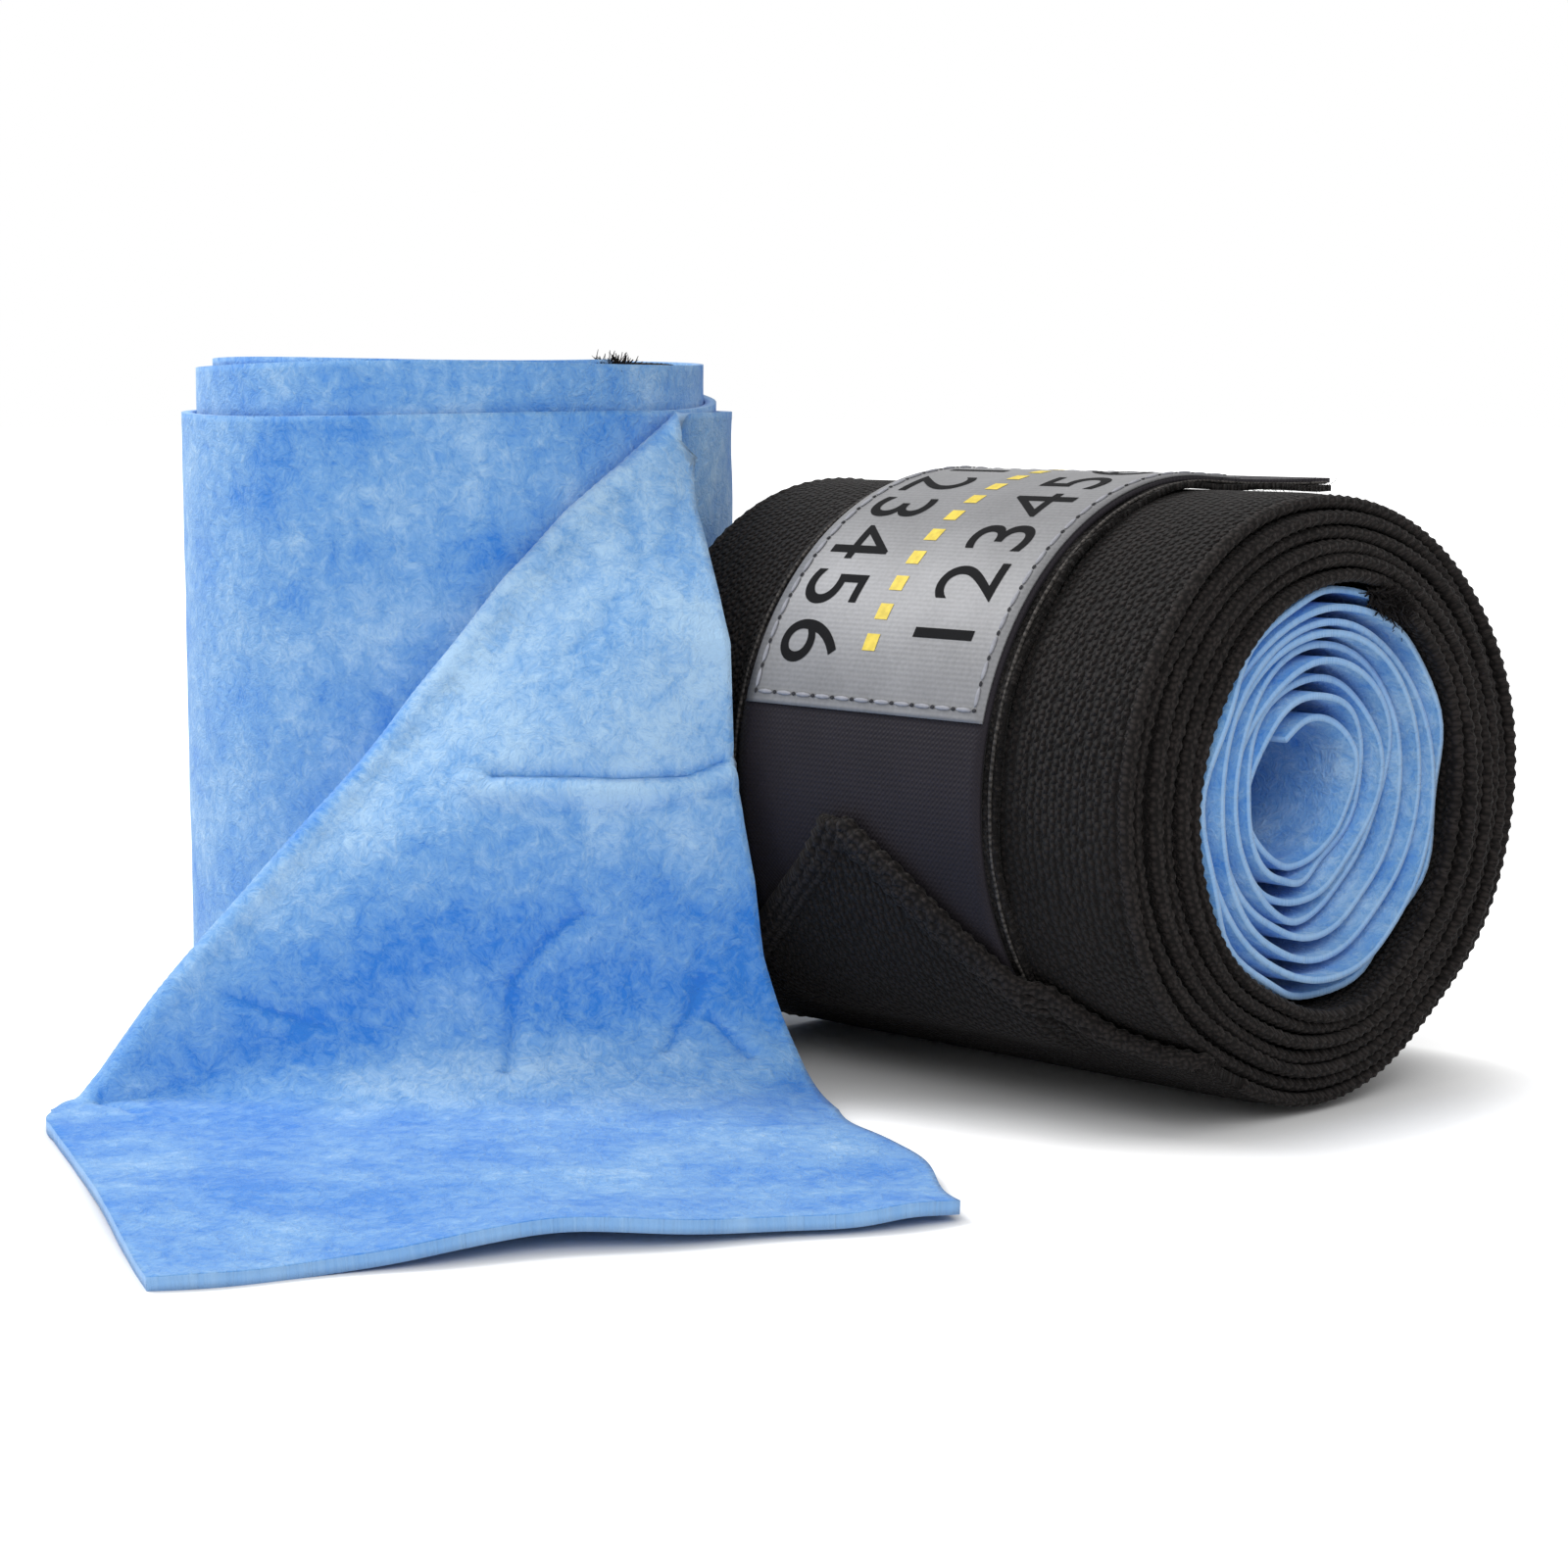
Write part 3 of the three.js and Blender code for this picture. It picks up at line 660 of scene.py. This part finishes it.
def ribbed_cord(mesh, columns, around, centre, sizes, rib, depth):
    """Adds a cord to mesh. centre gives a point, its two cross directions and its run in metres."""
    made = bmesh.new()
    bmesh.ops.create_grid(made, x_segments=columns, y_segments=around, size=1)
    flat = {}
    for vert in made.verts:
        share, turn = vert.co.x / 2 + 0.5, (vert.co.y / 2 + 0.5) * tau
        point, first, second, run = centre(share)
        swell = 1 + depth * cos(tau * run / rib + turn)
        vert.co = point + first * (sizes[0] * swell * cos(turn)) + second * (sizes[1] * swell * sin(turn))
        flat[vert] = (run, (vert.co - point).length * turn / 2)
    keep_flat(made, flat)
    bmesh.ops.remove_doubles(made, verts=made.verts, dist=1e-7)
    bmesh.ops.holes_fill(made, edges=[edge for edge in made.edges if edge.is_boundary], sides=around + 2)
    bmesh.ops.recalc_face_normals(made, faces=made.faces)
    part = bpy.data.meshes.new("cord_part")
    made.to_mesh(part)
    made.free()
    mesh.from_mesh(part)
    bpy.data.meshes.remove(part)


def closed_selvedge(near_side):
    def centre(share):
        along = share * (band_length - 0.047)
        angle = spread(along, band_spiral)
        near, far = band_edges(angle)
        across = near - 0.0006 if near_side else far + 0.0006
        return band_place(angle, across), closed_outward(angle), Vector((1, 0, 0)), along
    return centre


selvedges = bmesh.new()
ribbed_cord(selvedges, 3100, 7, closed_selvedge(True), (0.00098, 0.0014), 0.0020, 0.13)
ribbed_cord(selvedges, 2000, 6, closed_selvedge(False), (0.00095, 0.0014), 0.0026, 0.11)
piece = finish_piece("closed_selvedge_ribs", selvedges, loop_black)
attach(piece, "closed_wrap")


def slanting_edge(slant, inset, lift):
    angles = np.linspace(edge_angles[1], edge_angles[-1], 60)
    points = []
    for angle in angles:
        across = roll_near - spread(angle, (edge_angles, slant)) - inset
        points.append(band_place(angle + last_turn, across) + closed_outward(angle) * lift)
    runs = np.concatenate([[0], np.cumsum([(b - a).length for a, b in zip(points, points[1:])])])

    def centre(share):
        run = share * float(runs[-1])
        at = min(int(np.searchsorted(runs, run, side="right")) - 1, len(points) - 2)
        step = (run - runs[at]) / (runs[at + 1] - runs[at])
        angle = spread(run, (runs, angles))
        outward = closed_outward(angle)
        side = (points[at + 1] - points[at]).normalized().cross(outward)
        return points[at].lerp(points[at + 1], step), outward, side, run
    return centre


overlock = bmesh.new()
rows = ((0.0004, 0.0004, 0.0012), (0.0026, 0.0007, 0.00095), (0.0046, 0.0005, 0.0008))
for slant, sign in ((near_slant, 1), (far_slant, -1)):
    for inset, lift, size in rows:
        edge = slanting_edge(slant, sign * inset, lift)
        ribbed_cord(overlock, 330, 7, edge, (size, size * 1.25), 0.0024, 0.17)
piece = finish_piece("closed_point_overlock", overlock, loop_black)
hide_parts("closed_end_overlock")
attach(piece, "closed_wrap")


# ---------- join seam and frayed thread ends
# The chamois is joined to the elastic with rows of black zigzag stitches, whose thread
# ends are left frayed at the edge. Loose fibres also stand off the point's foot.

fibre = bmesh.new()
bmesh.ops.create_cone(fibre, cap_ends=True, segments=3, radius1=1, radius2=0.3, depth=1)
bmesh.ops.subdivide_edges(fibre, edges=[edge for edge in fibre.edges if abs(
    edge.verts[0].co.z - edge.verts[1].co.z) > 0.5], cuts=4)
fibre_shape = bpy.data.meshes.new("fibre")
fibre.to_mesh(fibre_shape)
fibre.free()


def frayed(mesh, root, onward, spread_out, count, length, thick, seed):
    """Adds fibres that start round root, lean onward and curl over."""
    pick = random.Random(seed)
    for _ in range(count):
        start = Vector(root) + Vector([pick.uniform(-1, 1) * extent for extent in spread_out])
        heading = (Vector(onward) + Vector([pick.uniform(-0.8, 0.8) for _ in range(3)])).normalized()
        curl = Vector([pick.uniform(-1, 1) for _ in range(3)])
        reach, side = length * pick.uniform(0.4, 1.0), heading.orthogonal().normalized()
        mesh.from_mesh(fibre_shape)
        mesh.verts.ensure_lookup_table()
        for vert in mesh.verts[-len(fibre_shape.vertices):]:
            share = vert.co.z + 0.5
            middle = start + heading * reach * share + curl * (reach * 0.75 * share * share)
            kinked = Vector((sin(9 * share + curl.x * 5), cos(8 * share), sin(7 * share)))
            wide = side * vert.co.x + heading.cross(side) * vert.co.y
            vert.co = middle + kinked * reach * 0.06 + wide * thick


def zigzag(place, low, high, swing=0.0009):
    """A zigzag of thread between two heights; place takes the swing and the height."""
    def centre(share):
        across = low + (high - low) * share
        phase = (across - low) / 0.0036 % 1
        offset = swing * (4 * abs(phase - 0.5) - 1)
        point = place(offset, across)
        ahead = place(0, across + 0.001) - place(0, across)
        outward = (place(0, across) - place(0.001, across)).cross(ahead)
        return point, outward.normalized(), ahead.normalized(), across
    return centre


def seam_rows(place, shifts, low, high):
    rows = bmesh.new()
    for shift in shifts:
        line = zigzag(lambda offset, across: place(offset + shift, across), low, high)
        ribbed_cord(rows, 420, 5, line, (0.0003, 0.0003), 0.0009, 0.1)
    return rows


def closed_seam_place(offset, across):
    return closed_at(seam_radius + 0.0013, 116.3 + degrees(offset / seam_radius), across)


seam_thread = seam_rows(closed_seam_place, (-0.0007, 0.0007), roll_far + 0.002, roll_near - 0.0008)
piece = finish_piece("closed_seam_thread", seam_thread, loop_black)
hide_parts("closed_join_seam")
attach(piece, "closed_wrap")

tuft = bmesh.new()
for angle, count in ((109, 40), (112, 60), (115, 70), (119, 60), (123, 40)):
    frayed(tuft, closed_at(seam_radius + 0.0008, angle, roll_near - 0.0016), (0.6, -0.1, -0.15),
           (0.0009, 0.0010, 0.0010), 2 * count, 0.0025, 0.00024, angle)
foot = band_place(edge_angles[1] + last_turn, roll_near - 0.003)
frayed(tuft, foot, (0.5, -0.5, -0.6), (0.0025, 0.0006, 0.0006), 46, 0.0034, 0.00010, 7)
piece = finish_piece("closed_frayed_ends", tuft, loop_black)
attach(piece, "closed_wrap")


# ---------- strap, hook tape and label
# A smooth woven tape sewn under the point, with a wider tape of hooks and loops under it.
# It is laid round the roll and pressed down, and its tip stands off. A grey reflective
# label is stitched on, printed with yellow dashes and two rows of numbers.

# lengths along the strap are measured at lying_radius
lying_radius, hinge_radius, peel_angle = 0.0462, 0.0478, 30.0
strap_from, strap_lift, strap_tip = -46.0, 95.0, 0.031
strap_run = (strap_lift - strap_from) * radians(1) * lying_radius


def strap_place(run, across, above):
    """run is measured along the strap from its root, above from the elastic under it."""
    length = radians(1) * lying_radius
    angle = min(strap_from + run / length, strap_lift)
    base = closed_band_radius(angle + strap_turn) + 0.0018
    point = closed_at(base + above, angle, across)
    past = run - (strap_lift - strap_from) * length
    if past > 0:
        point += closed_onward(angle) * past + closed_outward(angle) * 0.0019 * (past / strap_tip) ** 1.6
    return point


def lay_tape(place, low, high, start, end, above, ripple=0.0):
    """Lays a tape: place turns its run, its place across and its height into a point."""
    def lay(along_share, across_share):
        run = start + (end - start) * along_share
        across = low + (high - low) * across_share
        wave = ripple * sin(run * 260) * (2 * across_share - 1) ** 4
        return place(run, across, above + wave), (run, across - low)
    return lay


def blend_strap(piece):
    hinge = closed_at(hinge_radius, peel_angle, (roll_near + roll_far) / 2)
    onward = closed_onward(peel_angle)
    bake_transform(piece, "closed_wrap", "closed_strap", start=hinge - onward * 0.005, end=hinge + onward * 0.014)


# plain weave: threads over and under each other, with slight colour drift
weave, given = shader_group("weave", "Pitch", "Lines", "Shading")
parts = wire(weave, "SeparateXYZ", Vector=given["Place"])
phases = [maths(weave, "DIVIDE", times(weave, parts.outputs[axis], tau), given["Pitch"]) for axis in "XY"]
along, across = (maths(weave, "SINE", phase, 0.0) for phase in phases)
crossed = times(weave, along, across, maths(weave, "SUBTRACT", 1.0, given["Lines"]))
threads = add(weave, crossed, times(weave, along, given["Lines"]))
cloud = cloudy(weave, given["Place"], 90.0, 4.0)
fine = cloudy(weave, given["Place"], 1500.0, 2.0)
shade = times(weave, threads, given["Shading"])
shade = add(weave, shade, times(weave, cloud, 0.55))
shade = add(weave, shade, times(weave, fine, 0.4))
put(weave, weave.nodes.new("NodeGroupOutput"), Shade=shade, Height=threads)


def woven(name, colour, pitch, depth, roughness, lines, sheen=0.0, specular=0.12, metal=0.0, shading=0.16):
    made, tree, shader = new_material(name, Roughness=roughness, Sheen_Weight=sheen,
                                      Specular_IOR_Level=specular, Metallic=metal)
    flat = wire(tree, "UVMap", set_uv_map="flat").outputs["UV"]
    pattern = wire(tree, "Group", set_node_tree=weave, Place=flat, Pitch=pitch, Lines=lines,
                   Shading=shading)
    stops = [(0.2, [part * 0.72 for part in colour]), (0.8, [part * 1.28 for part in colour])]
    patterned(tree, shader, pattern, stops, depth, 0.5)
    return made


strap_grey = woven("strap_weave", (0.0205, 0.0175, 0.0225), 0.0008, 0.00012, 0.62, sheen=0.03, lines=0.3)
hook_black = knit("hook_pile", (0.0090, 0.0076, 0.0072), 0.0009, 0.0009, 0.0007, uneven=1.0)
edge_grey = knit("hook_edging", (0.032, 0.029, 0.027), 0.0009, 0.0009, 0.0002)
label_grey = woven("label_coating", (0.228, 0.229, 0.238), 0.0008, 0.000008, 0.5, metal=0.15, specular=0.35,
                   lines=0.9, shading=0.06)

hook_run = strap_run + strap_tip - 0.003
mesh = grid_strip(150, 30, lay_tape(
    strap_place, hook_low.x, hook_high.x, 0, hook_run, 0.0006, ripple=0.0003))[0]
piece = finish_piece("closed_hook_strip", mesh, hook_black, 0.0009)
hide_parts("closed_hook_tape", "closed_hook_tape_root")
blend_strap(piece)

mesh = grid_strip(150, 24, lay_tape(
    strap_place, strap_low.x, strap_high.x, 0, strap_run + strap_tip, 0.00145))[0]
piece = finish_piece("closed_strap_webbing", mesh, strap_grey, 0.0007)
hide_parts("closed_strap_tape", "closed_strap_root")
blend_strap(piece)


def tape_edge(across, above, end):
    def centre(share):
        run = 0.001 + (end - 0.001) * share
        point, ahead = strap_place(run, across, above), strap_place(run + 0.0005, across, above)
        side = Vector((1, 0, 0))
        return point, (ahead - point).normalized().cross(side), side, run
    return centre


edging = bmesh.new()
for across in (hook_high.x - 0.0010, hook_low.x + 0.0010):
    ribbed_cord(edging, 330, 5, tape_edge(across, 0.0012, hook_run), (0.00022, 0.00028), 0.0009, 0.12)
piece = finish_piece("closed_hook_edging", edging, edge_grey)
blend_strap(piece)

fuzz = bmesh.new()
pick = random.Random(3)
for number in range(150):
    run = pick.uniform(0.02, 1.0) * (strap_run + strap_tip - 0.004)
    past_lift = run > strap_run + 0.006
    across = hook_high.x if number % 3 or not past_lift else pick.uniform(hook_low.x, hook_high.x)
    place = strap_place(run, across, 0.0003 if past_lift else 0.0008)
    out = (0.2, -0.1, -1.0) if past_lift and number % 3 == 0 else (1.0, 0.0, 0.25)
    frayed(fuzz, place, out, (0.0002, 0.0003, 0.0003), 4, 0.0021 if past_lift else 0.0010, 0.00005, number)
piece = finish_piece("closed_hook_fuzz", fuzz, hook_black)
blend_strap(piece)

label_low, label_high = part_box("closed_label_root")
label_start = radians(15 - strap_from) * lying_radius
label_end = strap_run + 0.009
mesh = grid_strip(120, 24, lay_tape(
    strap_place, label_low.x, label_high.x, label_start, label_end, 0.00205))[0]
piece = finish_piece("closed_label_patch", mesh, label_grey, 0.00035)
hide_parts("closed_label", "closed_label_root")
blend_strap(piece)


def plain_paint(name, colour, roughness=0.5):
    made, tree, shader = new_material(name, Roughness=roughness, Specular_IOR_Level=0.1)
    spot = wire(tree, "TexCoord").outputs["Object"]
    fine = cloudy(tree, spot, 900.0, 3.0)
    stops = [(0.3, [part * 0.85 for part in colour]), (0.7, [part * 1.12 for part in colour])]
    coloured(tree, shader, fine, stops)
    return made


thread_white = plain_paint("label_thread", (0.34, 0.345, 0.38), 0.6)
needle_dark = plain_paint("needle_holes", (0.045, 0.045, 0.05), 0.9)
print_black = plain_paint("print_black", (0.006, 0.006, 0.007), 0.8)
print_yellow = plain_paint("print_yellow", (0.80, 0.62, 0.10), 0.5)


def stitch_line(stitches, holes, place, start, end, pitch=0.004, length=0.0031, width=0.00034):
    """Lays stitches from start to end, which are flat places on the label, and a hole at each end."""
    start, end = Vector(start), Vector(end)
    count = max(int(round((end - start).length / pitch)), 1)
    for k in range(count):
        middle = start.lerp(end, (k + 0.5) / count)
        point = place(*middle)
        ahead = place(*(middle + (end - start).normalized() * 0.0005)) - point
        side = place(*(middle + Vector((-(end - start).y, (end - start).x)).normalized() * 0.0005)) - point
        up = ahead.cross(side).normalized()
        frame_turn = Matrix((ahead.normalized(), up.cross(ahead.normalized()), up)).transposed().to_4x4()
        spot = Matrix.Translation(point) @ frame_turn
        size = Matrix.Diagonal((length / 2, width, width * 0.62, 1))
        bmesh.ops.create_uvsphere(stitches, u_segments=8, v_segments=6, radius=1, matrix=spot @ size)
        hole = place(*start.lerp(end, k / count))
        hole_size = Matrix.Diagonal((0.00042, 0.0003, 0.00010, 1))
        bmesh.ops.create_uvsphere(holes, u_segments=8, v_segments=4, radius=1,
                                  matrix=Matrix.Translation(hole) @ frame_turn @ hole_size)


def printed_row(mesh, text, start, across, flipped, size=0.0165):
    """Adds numbers that read along the strap, with their feet towards the label's near edge."""
    curve = bpy.data.curves.new("numbers", "FONT")
    curve.body, curve.size, curve.space_character = text, size, 1.12
    words = new_object("numbers", curve)
    bpy.context.view_layer.update()
    data = bpy.data.meshes.new_from_object(words)
    width = max(vert.co.x for vert in data.vertices)
    for vert in data.vertices:
        x, y = vert.co.x, vert.co.y
        if flipped:
            vert.co = (start + width - x, across - size * 0.35 + y, 0)
        else:
            vert.co = (start + x, across + size * 0.35 - y, 0)
    mesh.from_mesh(data)
    bpy.data.objects.remove(words)
    bpy.data.meshes.remove(data)
    bpy.data.curves.remove(curve)


def lay_print(name, mesh, material, place):
    bmesh.ops.triangulate(mesh, faces=mesh.faces)
    for _ in range(3):
        long_edges = [edge for edge in mesh.edges if edge.calc_length() > 0.0022]
        bmesh.ops.subdivide_edges(mesh, edges=long_edges, cuts=1)
        bmesh.ops.triangulate(mesh, faces=mesh.faces)
    for vert in mesh.verts:
        vert.co = place(vert.co.x, vert.co.y)
    bmesh.ops.recalc_face_normals(mesh, faces=mesh.faces)
    piece = finish_piece(name, mesh, material)
    return piece


def label_details(wrap, place, start, end, low, high, thread_above, print_above, text, rows,
                  dash_run, middle):
    """The stitches, needle holes, numbers and dashes on the label that lies between these places."""
    stitches, holes, numbers, dashes = bmesh.new(), bmesh.new(), bmesh.new(), bmesh.new()
    inset = 0.0017
    corners = [(start + inset, low + inset), (end - inset, low + inset),
               (end - inset, high - inset), (start + inset, high - inset)]
    for first, second in zip(corners, corners[1:] + corners[:1]):
        stitch_line(stitches, holes, lambda run, across: place(run, across, thread_above), first, second)
    for mesh in (stitches, holes):
        for face in mesh.faces:
            face.smooth = True
    thread = finish_piece(wrap + "_label_thread", stitches, thread_white)
    needle_holes = finish_piece(wrap + "_label_needle_holes", holes, needle_dark)
    for run, across, flipped in rows:
        printed_row(numbers, text, run, across, flipped)
    while dash_run < end - 0.004:
        step = Matrix.Translation((dash_run, middle, 0)) @ Matrix.Diagonal((0.00135, 0.00125, 1, 1))
        bmesh.ops.create_grid(dashes, x_segments=2, y_segments=1, size=1, matrix=step)
        dash_run += 0.0051

    def above(run, across):
        return place(run, across, print_above)

    return (thread, needle_holes, lay_print(wrap + "_label_numbers", numbers, print_black, above),
            lay_print(wrap + "_label_dashes", dashes, print_yellow, above))


label_pieces = label_details(
    "closed", strap_place, label_start, label_end, label_low.x, label_high.x, 0.00236, 0.00229, "123456",
    ((label_start + 0.0085, roll_near - 0.0405, False), (label_start + 0.0065, roll_near - 0.0655, True)),
    label_start + 0.0105, roll_near - 0.0535)
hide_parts("closed_label_stitching", "closed_label_stitching_root")
for piece in label_pieces:
    blend_strap(piece)


# ---------- open roll's elastic, strap and label
# The inside of the open roll: the same knitted elastic wound on from the chamois, its
# pointed end, and the strap with its hook tape and stitched label, all raised like the
# inner turns of the sheet.

open_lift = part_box("open_elastic_band")[0].z
open_middle = open_lift + wrap_width / 2
open_from, open_end, open_point = 1085.5, 3336.0, 96.0
open_band_radius = 0.0380
open_spiral, open_length = spiral(open_from, open_end + open_point, 2600, lambda angles: (
    open_band_radius - elastic_pitch * (angles - seam_angle) / 360))


def open_place(angle, height, inward=0.0):
    turns, turn = (angle - seam_angle) / 360, radians(angle)
    radius = open_band_radius - elastic_pitch * turns - inward
    radius += 0.00012 * sin(3 * turn + 1.3 * turns) + 0.00008 * sin(7 * turn + turns)
    return roll_middle + Vector((cos(turn) * radius, sin(turn) * radius, height))


def open_edges(angle):
    """The elastic's lower and upper edge; past its foot both slant in to the point."""
    turns = (angle - seam_angle) / 360
    drop = 0.0009 * (0.5 + 0.5 * sin(1.4 * radians(angle) + turns)) + 0.0002 * turns
    half = wrap_width / 2 * (1 - 0.93 * soft(angle, open_end - 10, open_end + open_point + 22))
    if angle > open_end:
        half = min(half, wrap_width / 2 * (1 - 0.95 * (angle - open_end) / open_point) + 0.001)
    return open_middle - half + 0.0004, open_middle + half - drop


def lay_open_band(along_share, across_share):
    along = along_share * open_length
    angle = spread(along, open_spiral)
    low, high = open_edges(angle)
    height = low + (high - low) * across_share
    return open_place(angle, height), (along, height - open_lift)


mesh = grid_strip(760, 30, lay_open_band)[0]
piece = finish_piece("open_knit_band", mesh, elastic_black, elastic_thick)
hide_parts("open_elastic_band", "open_pointed_end")
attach(piece, "open_wrap")


def open_selvedge(upper):
    def centre(share):
        along = share * (open_length - 0.002)
        angle = spread(along, open_spiral)
        low, high = open_edges(angle)
        height = high - 0.0006 if upper else low + 0.0006
        return open_place(angle, height), away_from_axis(angle), Vector((0, 0, 1)), along
    return centre


ribs = bmesh.new()
ribbed_cord(ribs, 2600, 6, open_selvedge(True), (0.00096, 0.0014), 0.0022, 0.12)
ribbed_cord(ribs, 1500, 6, open_selvedge(False), (0.00094, 0.0013), 0.0030, 0.11)
piece = finish_piece("open_selvedge_ribs", ribs, loop_black)
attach(piece, "open_wrap")


def open_seam_place(offset, height):
    return open_place(seam_angle + 3.2 + degrees(offset / open_band_radius), height, -0.0001)


open_rim = open_lift + wrap_width
seam_thread = seam_rows(open_seam_place, (-0.0006, 0.0008), open_lift + 0.001, open_rim - 0.0006)
for angle, count in ((-2.0, 50), (0.5, 70), (3.0, 60), (5.0, 40)):
    frayed(seam_thread, open_place(seam_angle + angle, open_rim - 0.0004), (0.1, 0.0, 0.6),
           (0.0008, 0.0008, 0.0003), count, 0.0019, 0.00020, angle)
piece = finish_piece("open_seam_thread", seam_thread, loop_black)
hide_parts("open_join_seam")
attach(piece, "open_wrap")

strap_radius, label_width = 0.0214, 0.0468
open_strap_run = radians(315) * strap_radius
label_run = (radians(60) * strap_radius, radians(250) * strap_radius)


def open_strap_place(run, across, inward):
    return open_place(open_end + degrees(run / strap_radius), across, 0.0009 + inward)


for name, width, run, inward, material, thick, slot, stands_for, lies_on in (
        ("open_hook_strip", 0.053, (0, open_strap_run), 0.0007, hook_black, 0.0009, "hook_tape",
         "open_hook_tape", "open_knit_band"),
        ("open_strap_webbing", 0.048, (0, open_strap_run), 0.0016, strap_grey, 0.0007, "strap_tape",
         "open_strap_tape", "open_hook_strip"),
        ("open_label_patch", label_width, label_run, 0.0022, label_grey, 0.00035, "label",
         "open_label", "open_strap_webbing")):
    mesh = grid_strip(110, 14, lay_tape(
        open_strap_place, open_middle - width / 2, open_middle + width / 2, *run, inward))[0]
    piece = finish_piece(name, mesh, material, thick)
    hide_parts(stands_for)
    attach(piece, "open_wrap")

first_number = label_run[0] + 0.0045
label_pieces = label_details(
    "open", open_strap_place, *label_run, open_middle - label_width / 2, open_middle + label_width / 2,
    0.00250, 0.00244, "12345",
    ((first_number, open_middle + 0.0125, False), (first_number, open_middle - 0.0125, True)),
    label_run[0] + 0.006, open_middle)
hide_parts("open_label_stitching")
for piece in label_pieces:
    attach(piece, "open_wrap")


# ---------- stage
# Plain pale floor under soft studio light, seen from the front corner.

def seen_directly(tree):
    """1 for what the camera sees, directly, mirrored or through something, and 0 for bounced light."""
    seen = wire(tree, "LightPath").outputs
    return maths(tree, "MAXIMUM", seen["Is Camera Ray"], seen["Is Glossy Ray"], seen["Is Transmission Ray"])


floor_mesh = bmesh.new()
bmesh.ops.create_grid(floor_mesh, x_segments=1, y_segments=1, size=6)
floor_paint, tree, shader = new_material(
    "floor_paint", Base_Color=(0.8, 0.8, 0.8, 1), Roughness=0.95, Specular_IOR_Level=0.0,
    Emission_Color=(1, 1, 1, 1))
floor = finish_piece("floor", floor_mesh, floor_paint)
spot = wire(tree, "TexCoord").outputs["Object"]
away = wire(tree, "VectorMath", set_operation="LENGTH", in0=spot).outputs["Value"]
far_off = wire(tree, "MapRange", Value=away, From_Min=0.16, From_Max=0.5, To_Min=0.66,
               To_Max=1.0).outputs[0]
# painted shadow: the glow is darkened by ambient occlusion where the wraps stand close over the floor
painted_contact_shadow = wire(tree, "AmbientOcclusion", set_samples=16, Distance=0.022).outputs["AO"]
painted_contact_shadow = maths(tree, "POWER", painted_contact_shadow, 3.5)
put(tree, shader, Emission_Strength=times(tree, seen_directly(tree), far_off, painted_contact_shadow))

scene = bpy.context.scene
camera = new_object("camera", bpy.data.cameras.new("camera"))
scene.camera = camera
camera.location = (0.3637, -0.3159, 0.105)
camera.rotation_euler = (radians(82.9), 0, radians(45))
camera.data.lens = 74.25
camera.data.sensor_width = 36
camera.data.clip_start = 0.01

scene.view_settings.view_transform = "Standard"
world = bpy.data.worlds.new("studio")
scene.world = world
world.use_nodes = True
tree = world.node_tree
put(tree, tree.nodes["Background"], Color=(1, 1, 1, 1),
    Strength=add(tree, times(tree, seen_directly(tree), 0.5), 0.5))


def soft_lamp(name, place, aim, size, power):
    data = bpy.data.lights.new(name, "AREA")
    data.shape, data.size, data.energy = "SQUARE", size, power
    lamp = new_object(name, data)
    lamp.location = place
    lamp.rotation_euler = (Vector(aim) - Vector(place)).to_track_quat("-Z", "Y").to_euler()


soft_lamp("key_light", (-0.62, -0.22, 0.8), (0, 0, 0.04), 0.42, 7)
soft_lamp("fill_light", (0.75, -0.6, 0.75), (0, 0, 0.05), 0.7, 4.5)
